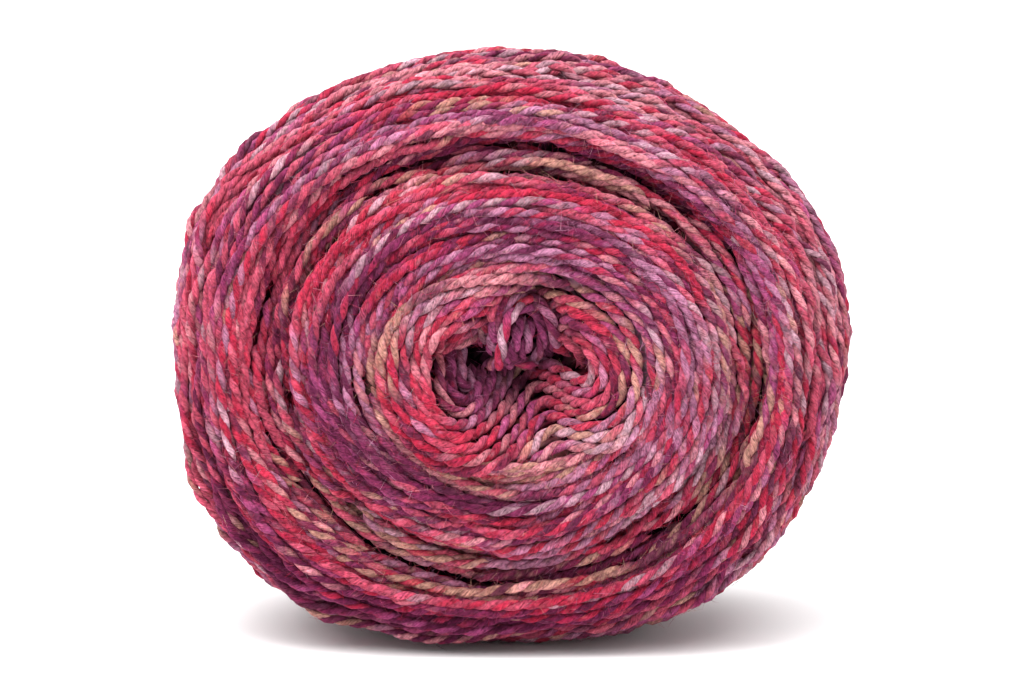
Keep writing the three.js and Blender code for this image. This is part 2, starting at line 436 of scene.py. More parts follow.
@dataclass
class Heap:
    """The height that the yarn laid so far has reached over the cake's form.

    A new strand rests on the highest thing under its round section, then bends smoothly
    from one resting place to the next, and the heap grows by its section.
    """

    shape: CakeShape
    floor: float
    radius: float = 0.82
    yarn_radius: float = 1.15
    give: float = 0.35
    bend: float = 4.0
    step: float = 0.45
    overhang: float = 1.65
    even_round: float = 14.0
    even_along: float = 6.0
    even_margin: int = 60
    hollow: float = -0.6
    floor_sag: float = 0.3
    sag_heights: tuple[float, float] = (2.0, 7.0)
    top: Array = field(init=False)
    offsets: Array = field(init=False)
    arch: Array = field(init=False)

    def __post_init__(self) -> None:
        """Start with an even layer at the floor height."""
        self.top = np.full(self.shape.reach.shape, self.floor)
        self.offsets, self.arch = section_arch(self.radius)

    def _cells(self, along: Array, angle: Array) -> tuple[Array, Array]:
        """Return the cells under the section at each sample of one or more paths.

        Args:
            along: the paths' distance along the cake at each sample.
            angle: the paths' angle at each sample.

        Returns:
            The cells' rows and their columns.
        """
        reach = self.shape.look(self.shape.reach, along, angle)
        forward = np.gradient(along, axis=-1)
        sideways = np.gradient(angle, axis=-1) * reach
        size = np.maximum(np.hypot(forward, sideways), 1e-6)
        rows = along[..., None] + (sideways / size)[..., None] * self.offsets
        turned = angle[..., None] - (forward / size / reach)[..., None] * self.offsets
        i = np.clip(np.rint(rows / self.shape.row_step).astype(int), 0, self.shape.rows - 1)
        j = np.rint(turned / TURN * self.shape.columns).astype(int) % self.shape.columns
        return i, j

    def support(self, along: Array, angle: Array) -> Array:
        """Return the height at which a strand's middle would rest at each sample."""
        return (self.top[self._cells(along, angle)] + self.arch).max(axis=-1)

    def lay(self, along: Array, angle: Array, dive: float, dive_length: float) -> Strand:
        """Lay a strand on the heap and return it.

        Args:
            along: the path's distance along the cake at each sample.
            angle: the path's angle at each sample.
            dive: how far both ends sink under their neighbours.
            dive_length: how far from its tips an end starts to sink.

        Returns:
            The strand where it came to rest.
        """
        height = rest_line(self.support(along, angle), self.give, self.bend)
        i, j = self._cells(along, angle)
        np.maximum.at(self.top, (i, j), height[..., None] + self.arch)
        places = self.shape.look(self.shape.places, along, angle)
        out = unit(self.shape.look(self.shape.outward, along, angle))
        run = distances(places)
        from_tip = np.minimum(run, run[-1] - run)
        height = height - dive * (1 - smoothstep(from_tip, 0, dive_length))
        return Strand(places + out * height[:, None], out, along, angle)

    def excess(self) -> Array:
        """Return how far the heap stands over the cake's form, evened out over some strands."""
        margin = self.even_margin
        even = self.top + self.overhang
        wide = np.concatenate([even[:, -margin:], even, even[:, :margin]], axis=1)
        wide = np.apply_along_axis(smooth_along, 1, wide, self.even_round)[:, margin:-margin]
        even = np.apply_along_axis(smooth_along, 0, wide, self.even_along)
        return np.maximum(even, self.hollow)

    def press(self, strands: list[Strand], excess: Array) -> None:
        """Press strands back by the excess, and keep them off the floor.

        Args:
            strands: the strands, whose lines are moved.
            excess: how far the heap stands over the cake's form in each cell.
        """
        for strand in strands:
            strand.line -= strand.out * self.shape.look(excess, strand.along, strand.angle)[:, None]
            sag = self.floor_sag * (1 - smoothstep(strand.line[:, 2], *self.sag_heights))
            strand.line[:, 2] = np.maximum(strand.line[:, 2] - sag, self.yarn_radius)


@dataclass
class FaceTurns:
    """Arcs of yarn round an end of the cake, between two rings.

    Each arc takes the lowest of many lanes, drifts slowly in or out as it goes, and sinks
    under its neighbours at both ends.
    """

    inner: float
    outer: float
    total: float
    halves: tuple[float, float] = (22, 60)
    slopes: tuple[float, float] = (0.02, 0.13)
    bow: float = 0.7
    bow_middle: float = 0.3
    lanes: int = 56
    lane_shift: float = 0.4
    margin: float = 1.0
    widest: float = 2.6
    every: int = 5
    tries: int = 2
    untidy: float = 0.12
    dive: float = 2.3
    dive_length: float = 9.0

    def lay(self, heap: Heap, rng: np.random.Generator) -> list[Strand]:
        """Lay arcs until their length is used up.

        Args:
            heap: what they are laid on.
            rng: where chance comes from.

        Returns:
            The arcs, in the order laid.
        """
        strands: list[Strand] = []
        used = 0.0
        while used < self.total:
            found = [self._lane(heap, rng) for _ in range(self.tries)]
            _, along, angle = min(found, key=lambda lane: lane[0])
            strand = heap.lay(along, angle, self.dive, self.dive_length)
            strands.append(strand)
            used += strand.length
        return strands

    def _lane(self, heap: Heap, rng: np.random.Generator) -> tuple[float, Array, Array]:
        """Find the lowest lane for a new arc at a random angle.

        Args:
            heap: what the arc will lie on.
            rng: where chance comes from.

        Returns:
            The lane's height, its distance along the cake and its angle at each sample.
        """
        low, high = sorted((self.inner, self.outer))
        while True:
            middle = rng.uniform(0, TURN)
            slope = rng.choice([-1.0, 1.0]) * rng.uniform(*self.slopes)
            bow = rng.normal(0, self.bow)
            shift = rng.uniform(-self.lane_shift, self.lane_shift)
            lanes = np.linspace(low, high, self.lanes) + shift
            reach = heap.shape.look(heap.shape.reach, lanes, np.full(self.lanes, middle))[:, None]
            half = rng.uniform(*self.halves)
            t = np.arange(-half, half, heap.step)
            along = lanes[:, None] + slope * t + bow * ((t / half) ** 2 - self.bow_middle)
            angle = middle + t / reach
            inside = along.min(axis=1) > low - self.margin
            inside &= along.max(axis=1) < high + self.margin
            inside &= half / reach[:, 0] < self.widest
            if inside.any():
                cost = heap.support(along[:, :: self.every], angle[:, :: self.every]).mean(axis=1)
                cost = np.where(inside, cost + rng.normal(0, self.untidy, self.lanes), np.inf)
                best = int(np.argmin(cost))
                return float(cost[best]), along[best], angle[best]


@dataclass
class OuterWrap:
    """The outer winding, which crosses the rim from end to end and back again.

    Each length of it turns round on the front shoulder and has both ends on the far one.
    Along is a blend of a softened zigzag and a cosine of the phase.
    """

    front: tuple[float, float]
    back: tuple[float, float]
    count: int = 30
    winds: tuple[float, float] = (0.86, 1.06)
    starts: int = 40
    radius: float = 62
    softness: float = 0.22
    zigzag: float = 0.55
    wander: float = 0.9
    wander_rates: tuple[float, float] = (5, 9)
    every: int = 9
    untidy: float = 0.05
    dive: float = 2.3
    dive_length: float = 12

    def lay(self, heap: Heap, rng: np.random.Generator) -> list[Strand]:
        """Lay every length of the winding.

        Args:
            heap: what they are laid on.
            rng: where chance comes from.

        Returns:
            The lengths, in the order laid.
        """
        strands: list[Strand] = []
        for _ in range(self.count):
            winds = rng.uniform(*self.winds)
            ends = (rng.uniform(*self.front), rng.uniform(*self.back))
            samples = int(winds * TURN * self.radius * 2 / heap.step)
            phase = np.linspace(-1, 1, samples)
            soft = np.hypot(phase, self.softness) - self.softness
            soft /= math.hypot(1, self.softness) - self.softness
            wave = (1 - np.cos(phase * math.pi)) / 2
            share = self.zigzag * soft + (1 - self.zigzag) * wave
            rate = rng.uniform(*self.wander_rates)
            wander = self.wander * np.sin(phase * rate + rng.uniform(0, TURN))
            along = ends[0] + (ends[1] - ends[0]) * share + wander
            starts = rng.uniform(0, TURN) + np.linspace(0, TURN, self.starts, endpoint=False)
            angle = starts[:, None] + winds * TURN * phase
            few = angle[:, :: self.every]
            cost = heap.support(np.broadcast_to(along[:: self.every], few.shape), few)
            best = int(np.argmin(cost.mean(axis=1) + rng.normal(0, self.untidy, self.starts)))
            strands.append(heap.lay(along, angle[best], self.dive, self.dive_length))
        return strands


@dataclass
class CoreHeap:
    """The heap seen straight on, for the yarn of the fallen-in core."""

    shape: CakeShape
    sink: float
    cell: float = 0.5
    low: tuple[float, float] = (-32.0, -28.0)
    cells: tuple[int, int] = (136, 112)
    reach: float = 40
    limits: tuple[float, float] = (31, 27)
    fewest: int = 3
    empty: float = -99.0
    fills: int = 2
    even: float = 4.0
    radius: float = 0.98
    give: float = 0.3
    bend: float = 3.0
    detail: int = 12
    step: float = 0.45
    under_gap: float = 0.6
    dive: float = 2.6
    dive_length: float = 6
    eye: float = 3.6
    squash: float = 1.3
    top: Array = field(init=False)
    offsets: Array = field(init=False)
    arch: Array = field(init=False)

    def __post_init__(self) -> None:
        """Start from the cake's own form, sunk by the depth of its winding."""
        self.offsets, self.arch = section_arch(self.radius)
        self.top = np.full(self.cells, self.empty)
        front = self.shape.places[: int(self.reach / self.shape.row_step)]
        flat = front.reshape(-1, 3) - self.shape.face_centre
        self._raise(flat[:, 0], flat[:, 2], -flat[:, 1] - self.sink)
        for _ in range(self.fills):
            around = [np.roll(self.top, s, a) for s in (-1, 1) for a in (0, 1)]
            self.top = np.where(self.top == self.empty, np.max(around, axis=0), self.top)
        for axis in (0, 1):
            self.top = np.apply_along_axis(smooth_along, axis, self.top, self.even)

    def _index(self, x: Array, z: Array) -> tuple[Array, Array]:
        """Return the cells of places on the face."""
        i = np.rint((x - self.low[0]) / self.cell).astype(int)
        j = np.rint((z - self.low[1]) / self.cell).astype(int)
        return np.clip(i, 0, self.cells[0] - 1), np.clip(j, 0, self.cells[1] - 1)

    def _raise(self, x: Array, z: Array, ahead: Array) -> None:
        """Raise the heap to these places."""
        np.maximum.at(self.top, self._index(x, z), ahead)

    def _section(self, x: Array, z: Array) -> tuple[Array, Array]:
        """Return the face places under the section at each sample of a path."""
        way = unit(np.stack([np.gradient(x), np.gradient(z)], axis=-1))
        return x[:, None] + way[:, 1:] * self.offsets, z[:, None] - way[:, :1] * self.offsets

    def include(self, strands: list[Strand]) -> None:
        """Raise the heap by strands that are already laid."""
        wide, high = self.limits
        for strand in strands:
            line = strand.line - self.shape.face_centre
            near = (np.abs(line[:, 0]) < wide) & (np.abs(line[:, 2]) < high) & (line[:, 1] < 0)
            if near.sum() > self.fewest:
                line = line[near]
                sx, sz = self._section(line[:, 0], line[:, 2])
                self._raise(sx, sz, -line[:, 1, None] + self.arch)

    def lay(self, points: tuple[tuple[float, ...], ...]) -> Strand:
        """Lay a strand through points of the face and return it.

        Args:
            points: x and z of the places that it passes, in millimetres, and where it
                rests on nothing, how far in front of the rim's middle plane it lies.

        Returns:
            The strand where it came to rest.
        """
        path = catmull_rom(points, self.detail)
        given = path.shape[1] == 3
        path = evenly(path if given else np.column_stack([path, np.zeros(len(path))]), self.step)
        x, z = path[:, 0], path[:, 1]
        sx, sz = self._section(x, z)
        if given:
            ahead = path[:, 2]
        else:
            held = (self.top[self._index(sx, sz)] + self.arch).max(axis=-1)
            ahead = rest_line(held, self.give, self.bend)
            ahead = np.minimum(ahead, self.shape.under_end(x, z, ahead) - self.under_gap)
        self._raise(sx, sz, ahead[:, None] + self.arch)
        run = distances(np.stack([x, z], axis=1))
        from_tip = np.minimum(run, run[-1] - run)
        ahead = ahead - self.dive * (1 - smoothstep(from_tip, 0, self.dive_length))
        line = np.stack([x, -ahead, z], axis=1) + self.shape.face_centre
        out = np.tile([0.0, -1.0, 0.0], (len(line), 1))
        along = np.hypot(x - self.eye, z * self.squash)
        return Strand(line, out, along, np.arctan2(z, x - self.eye))


CORE_LINES = {
    "pocket, heart": ((-7.6, 3.4), (-7.9, 0.8), (-7.9, -2.2), (-7.5, -4.3), (-6.3, -4.9), (-6.0, -2.8),
                      (-6.2, -0.8)),
    "pocket, inner": ((-9.6, 3.9), (-9.8, 1.2), (-9.8, -1.6), (-9.7, -4.0), (-8.9, -6.0), (-7.3, -7.0),
                      (-5.5, -6.4), (-4.5, -4.6), (-4.2, -2.6), (-4.4, -1.0)),
    "pocket, outer": ((-11.6, 4.4), (-11.8, 1.8), (-11.7, -1.2), (-11.6, -3.8), (-10.9, -6.2), (-9.6, -8.1),
                      (-7.4, -9.1), (-5.2, -8.5), (-3.7, -6.8), (-2.8, -4.8), (-2.4, -3.0),
                      (-2.3, -1.2)),
    "pocket, right": ((-0.4, -1.2), (-0.7, -3.2), (-1.5, -5.4), (-2.6, -7.6)),
    "upper lobe, low": ((-3.9, 4.5), (-6.6, 4.1), (-9.2, 3.3), (-11.2, 2.6), (-12.6, 1.4)),
    "upper lobe, high": ((-3.6, 6.5), (-6.5, 5.9), (-9.4, 5.0), (-11.4, 3.9), (-12.8, 2.2)),
    "right lobe, low": ((7.4, 4.6), (9.4, 3.4), (11.2, 2.0), (13.2, 1.2)),
    "right lobe, heart": ((6.8, 6.2), (9.4, 5.6), (11.6, 4.7), (13.6, 3.3), (14.9, 1.4),
                          (15.0, -0.4), (14.0, -1.4)),
    "beside the clump": ((8.6, 11.0), (8.4, 8.0), (8.4, 4.8), (8.5, 1.9), (8.2, -0.3)),
    "foot, lower": ((5.6, -18.4), (8.4, -16.4), (11.2, -14.8), (14.6, -14.8), (18.2, -15.0),
                    (21.8, -14.2), (25.2, -12.0), (27.8, -8.8)),
    "foot, upper": ((2.4, -18.0), (5.4, -15.9), (7.6, -13.5), (10.2, -12.2), (13.4, -12.5),
                    (16.8, -13.0), (20.4, -12.6), (23.8, -10.8), (26.2, -7.6), (27.3, -3.4)),
    "fifth turn": ((14.5, 14.6), (9.4, 16.1), (3.4, 16.6), (-2.8, 16.6), (-8.6, 16.0),
                   (-13.4, 14.2), (-17.6, 11.0), (-20.6, 6.8), (-22.1, 1.8), (-22.1, -3.4),
                   (-20.8, -8.4), (-18.0, -12.8), (-14.4, -16.4), (-10.4, -18.8), (-5.4, -19.4),
                   (-1.0, -18.2), (2.6, -15.8), (5.0, -13.4), (6.9, -11.0), (9.0, -9.8),
                   (12.0, -10.3), (15.4, -11.0), (19.0, -10.8), (22.4, -9.0), (24.8, -5.8),
                   (25.7, -1.6), (25.4, 2.6), (24.2, 6.6), (21.8, 10.2), (18.2, 13.0),
                   (14.0, 15.0)),
    "fourth turn": ((6.4, 14.2), (2.0, 14.6), (-2.4, 14.5), (-7.0, 14.0), (-11.2, 12.9),
                    (-15.0, 10.7), (-17.9, 7.6), (-19.5, 3.6), (-20.0, -0.8), (-19.4, -5.4),
                    (-17.8, -9.6), (-15.2, -13.3), (-11.8, -16.0), (-7.8, -17.2), (-3.8, -16.9),
                    (-0.2, -15.3), (2.6, -13.1), (4.6, -10.8), (6.3, -8.6), (8.8, -7.6),
                    (11.8, -8.3), (15.0, -8.9), (18.4, -8.6), (21.2, -7.0), (23.0, -4.0),
                    (23.5, -0.4), (23.0, 3.2), (21.6, 6.4), (19.4, 9.0), (16.2, 11.2),
                    (12.4, 12.6), (8.6, 13.3), (5.2, 13.2)),
    "third turn": ((1.2, 12.6), (-2.6, 12.7), (-6.4, 12.0), (-10.4, 11.0), (-13.8, 9.0), (-16.2, 6.2),
                   (-17.6, 2.8), (-17.9, -1.0), (-17.4, -5.0), (-16.0, -8.7), (-13.8, -11.8),
                   (-10.8, -14.2), (-7.2, -15.1), (-3.6, -14.5), (-0.6, -12.8), (1.7, -10.6),
                   (3.4, -8.2), (4.8, -6.2), (6.8, -5.3), (9.4, -5.5), (12.0, -6.4),
                   (14.8, -7.0), (17.8, -6.7), (20.2, -5.0), (21.4, -2.0), (21.5, 1.0),
                   (20.8, 3.9), (19.4, 6.5), (17.2, 8.6), (14.2, 10.1), (10.8, 11.0),
                   (8.0, 11.2), (5.4, 10.8)),
    "second turn": ((0.2, 10.4), (-3.2, 10.6), (-6.8, 9.9), (-10.2, 8.9), (-13.0, 7.0), (-14.9, 4.4),
                    (-15.7, 1.0), (-15.8, -2.6), (-15.1, -6.0), (-13.6, -9.0), (-11.4, -11.5),
                    (-8.4, -12.9), (-5.2, -12.7), (-2.5, -11.4), (-0.3, -9.5), (1.4, -7.3),
                    (2.6, -5.2), (4.4, -3.8), (6.9, -3.1), (9.6, -3.5), (12.0, -4.4),
                    (14.6, -5.0), (17.2, -4.6), (19.0, -2.8), (19.5, -0.2), (19.1, 2.4),
                    (18.0, 4.8), (16.1, 6.9), (13.5, 8.3), (10.4, 9.0), (7.4, 9.0)),
    "first turn": ((-0.4, 8.4), (-3.5, 8.5), (-6.8, 7.8), (-9.9, 6.9), (-12.3, 5.2), (-13.5, 2.8),
                   (-13.8, 0.0), (-13.8, -2.8), (-13.2, -5.6), (-12.0, -8.0), (-10.1, -9.9),
                   (-7.5, -11.0), (-4.9, -10.6), (-2.8, -9.0), (-1.1, -7.0), (0.1, -5.0),
                   (1.4, -3.2), (3.1, -1.9), (5.3, -1.2), (7.6, -1.0), (10.2, -1.4),
                   (12.4, -2.3), (14.6, -3.0), (16.5, -2.6), (17.5, -0.8), (17.4, 1.4),
                   (16.3, 3.6), (14.5, 5.4), (12.2, 6.6), (9.6, 7.2), (7.0, 7.4)),
    "clump, foot": ((-3.8, -1.6, 36), (-1.2, 0.0, 37.6), (1.6, 0.4, 37.8), (4.2, -0.4, 37.4),
                    (6.6, -1.6, 37.6)),
    "clump, right": ((9.6, 1.6, 35.5), (9.9, 4.6, 38), (9.5, 7.8, 40.2), (7.8, 10.9, 41.4),
                     (4.8, 13.2, 41.6)),
    "clump, far left": ((-3.8, 2.8, 38.4), (-3.4, 6.2, 40.2), (-2.4, 9.6, 41), (-0.2, 12.4, 41.6),
                        (3.0, 14.0, 41.4), (6.6, 13.8, 40.8)),
    "clump, left": ((-2.0, 1.4, 39.6), (-1.7, 4.6, 41.8), (-1.0, 7.8, 42.8), (0.3, 10.6, 42.6),
                    (2.6, 12.4, 42), (5.6, 12.2, 40.8), (8.2, 10.8, 39.8)),
    "clump, inside": ((0.8, -1.6, 38), (1.9, 1.2, 40.2), (2.7, 4.2, 41.6), (3.2, 7.0, 41.4),
                      (3.9, 9.0, 40)),
    "clump, inside right": ((2.8, -0.6, 37.2), (4.0, 1.8, 38.8), (4.9, 4.4, 39.8), (5.1, 7.2, 39.4),
                            (4.4, 8.2, 38.2)),
    "pink and red hook": ((-2.8, 5.6), (-2.2, 8.0), (-1.2, 10.2), (0.4, 12.0), (2.8, 12.8),
                          (5.2, 12.0), (6.8, 10.4)),
}


class Tint(Enum):
    """The dyes of the yarn, as screen colours."""

    CRIMSON = (192, 38, 66)
    ROSE = (208, 84, 108)
    PINK = (224, 142, 152)
    ORCHID = (166, 72, 122)
    LILAC = (188, 126, 158)
    PALE = (206, 164, 178)
    TAN = (206, 154, 134)
    PLUM = (118, 38, 78)
    VIOLET = (88, 30, 62)

    @property
    def light(self) -> Array:
        """Return the colour as linear light."""
        value = np.array(self.value) / 255
        return np.where(value <= 0.04045, value / 12.92, ((value + 0.055) / 1.055) ** 2.4)


class Zone(NamedTuple):
    """A stretch of the cake where some dyes are commoner.

    Across is the half width of its ring in millimetres and reach how far it spreads over
    the rings, while angle and sweep, its spread round the cake, are in degrees.
    """

    across: float
    angle: float
    reach: float
    sweep: float
    tints: dict[Tint, float]


T = Tint
ZONES = (
    # Paler dyes at the top of the outer band: the yarn's own colours, made paler as painted light from
    # above.
    Zone(64, 60, 3.5, 60, {T.PINK: 8, T.ROSE: 6, T.PALE: 3, T.CRIMSON: 1}),
    Zone(63, 140, 3, 35, {T.ROSE: 6, T.CRIMSON: 5, T.PINK: 2}),
    Zone(63, 178, 3, 25, {T.CRIMSON: 5, T.ROSE: 6, T.PINK: 2}),
    # Plum and violet at the bottom of the outer band: the yarn's own dyes, weighted darker as painted shade
    # on the underside.
    Zone(62.5, -95, 4.5, 52, {T.VIOLET: 13, T.PLUM: 14, T.ORCHID: 4, T.CRIMSON: 3}),
    Zone(62, -20, 3, 18, {T.CRIMSON: 6, T.ROSE: 6, T.TAN: 1}),
    Zone(58.5, 85, 2.2, 45, {T.CRIMSON: 9, T.ROSE: 5}),
    Zone(58, -60, 3, 35, {T.CRIMSON: 6, T.PLUM: 4, T.ROSE: 3}),
    Zone(57.5, -120, 2.5, 30, {T.ROSE: 6, T.PLUM: 3, T.CRIMSON: 3}),
    Zone(57, 160, 2, 22, {T.PLUM: 5, T.ORCHID: 3, T.ROSE: 4}),
    Zone(59.5, -165, 2.5, 22, {T.ROSE: 7, T.CRIMSON: 5, T.PINK: 2}),
    Zone(52, -162, 3, 24, {T.ROSE: 6, T.CRIMSON: 6, T.PINK: 3}),
    Zone(58, 15, 2.5, 25, {T.PINK: 6, T.ROSE: 5, T.PALE: 2}),
    Zone(54.5, 60, 2.2, 55, {T.LILAC: 7, T.PLUM: 5, T.PALE: 2, T.ORCHID: 3}),
    Zone(55, 120, 2, 30, {T.PLUM: 7, T.ORCHID: 4}),
    Zone(53.5, -70, 1.8, 50, {T.TAN: 4, T.CRIMSON: 3, T.PLUM: 4, T.VIOLET: 3}),
    Zone(54, -15, 2.5, 22, {T.CRIMSON: 8, T.ROSE: 3}),
    Zone(52.5, 165, 2, 30, {T.ROSE: 6, T.CRIMSON: 5}),
    Zone(50.5, 95, 2, 45, {T.PINK: 6, T.ROSE: 6, T.ORCHID: 2}),
    Zone(50, -60, 2, 25, {T.PLUM: 7, T.CRIMSON: 4}),
    Zone(49.5, -105, 2, 30, {T.ROSE: 5, T.TAN: 3, T.LILAC: 3}),
    Zone(50, 30, 2, 30, {T.ORCHID: 6, T.LILAC: 4, T.ROSE: 3}),
    Zone(46.5, 75, 2, 60, {T.PLUM: 7, T.VIOLET: 4, T.CRIMSON: 3}),
    Zone(47.5, 165, 2.5, 40, {T.CRIMSON: 7, T.ROSE: 4, T.PLUM: 4, T.VIOLET: 1}),
    Zone(48.5, -5, 2, 22, {T.CRIMSON: 5, T.VIOLET: 3, T.TAN: 4}),
    Zone(45.5, -100, 2, 35, {T.CRIMSON: 9, T.ROSE: 4}),
    Zone(46, -35, 2.2, 25, {T.LILAC: 7, T.PALE: 4, T.ORCHID: 3}),
    Zone(42.5, 75, 2, 55, {T.PINK: 6, T.TAN: 5, T.ROSE: 4}),
    Zone(42.5, -5, 2, 22, {T.LILAC: 6, T.ROSE: 4, T.PALE: 2}),
    Zone(43.5, 160, 2, 30, {T.CRIMSON: 8, T.ROSE: 3}),
    Zone(38.5, 75, 2.4, 70, {T.CRIMSON: 11, T.ROSE: 5}),
    Zone(39.5, -150, 2.2, 40, {T.PLUM: 6, T.ORCHID: 5, T.ROSE: 2}),
    Zone(39, -45, 2.4, 22, {T.ORCHID: 5, T.PLUM: 5}),
    Zone(39, -85, 2, 22, {T.CRIMSON: 5, T.ROSE: 4}),
    Zone(36, -95, 2, 35, {T.VIOLET: 8, T.PLUM: 6}),
    Zone(35, -165, 2, 25, {T.VIOLET: 5, T.LILAC: 4, T.PLUM: 4}),
    Zone(33.5, 45, 2.2, 45, {T.LILAC: 6, T.VIOLET: 4, T.PLUM: 4}),
    Zone(34, 150, 2.2, 35, {T.VIOLET: 6, T.PLUM: 5}),
    Zone(33, -45, 2.4, 30, {T.PLUM: 5, T.ROSE: 4, T.LILAC: 3}),
    Zone(30, 90, 2.2, 70, {T.CRIMSON: 6, T.PLUM: 5, T.ORCHID: 2}),
    Zone(30.5, -120, 2.2, 35, {T.TAN: 6, T.PINK: 4, T.ROSE: 3}),
    Zone(29.5, -15, 2.5, 25, {T.ROSE: 6, T.LILAC: 4}),
    Zone(26, 75, 2.2, 60, {T.ORCHID: 6, T.LILAC: 6, T.PLUM: 2}),
    Zone(26.5, -60, 2.5, 30, {T.TAN: 4, T.PINK: 5, T.ROSE: 4}),
    Zone(25.5, 165, 2.2, 40, {T.ROSE: 6, T.CRIMSON: 5}),
    Zone(22, 5, 2.6, 45, {T.PALE: 7, T.LILAC: 7, T.PINK: 2}),
    Zone(21.5, 125, 2.4, 45, {T.TAN: 7, T.PINK: 5, T.PALE: 2}),
    Zone(21, -50, 2.6, 30, {T.PALE: 6, T.PINK: 4, T.TAN: 4}),
    Zone(22, -130, 3.5, 50, {T.CRIMSON: 10, T.ROSE: 4}),
    Zone(18, -110, 3, 45, {T.CRIMSON: 9, T.ROSE: 4, T.PINK: 2}),
    Zone(17.5, 175, 2.5, 35, {T.CRIMSON: 8, T.ROSE: 5, T.PINK: 2}),
    Zone(17, 5, 2.2, 35, {T.CRIMSON: 8, T.ROSE: 4}),
    Zone(17, 95, 3, 35, {T.CRIMSON: 6, T.TAN: 3, T.ROSE: 2}),
    Zone(13, 15, 3, 45, {T.ROSE: 7, T.CRIMSON: 5, T.PINK: 3}),
    Zone(10, -50, 4, 40, {T.ROSE: 7, T.CRIMSON: 3, T.ORCHID: 3, T.PINK: 3}),
    Zone(12.5, 180, 4, 28, {T.PLUM: 10, T.VIOLET: 5, T.LILAC: 3}),
    Zone(3, 90, 5, 180, {T.PLUM: 14, T.VIOLET: 8, T.ORCHID: 8, T.LILAC: 7}),
    Zone(10, 98, 5, 35, {T.PLUM: 14, T.VIOLET: 8, T.ORCHID: 9, T.LILAC: 6}),
)
COMMON = {T.CRIMSON: 1.2, T.ROSE: 1.4, T.PINK: 0.8, T.ORCHID: 1.0, T.LILAC: 0.9, T.PALE: 0.5,
          T.TAN: 0.5, T.PLUM: 1.2, T.VIOLET: 0.5}
PALE_PLY = {T.CRIMSON: 0.5, T.ROSE: 1.0, T.PINK: 1.9, T.ORCHID: 0.8, T.LILAC: 1.8, T.PALE: 2.2,
            T.TAN: 1.7, T.PLUM: 0.45, T.VIOLET: 0.3}


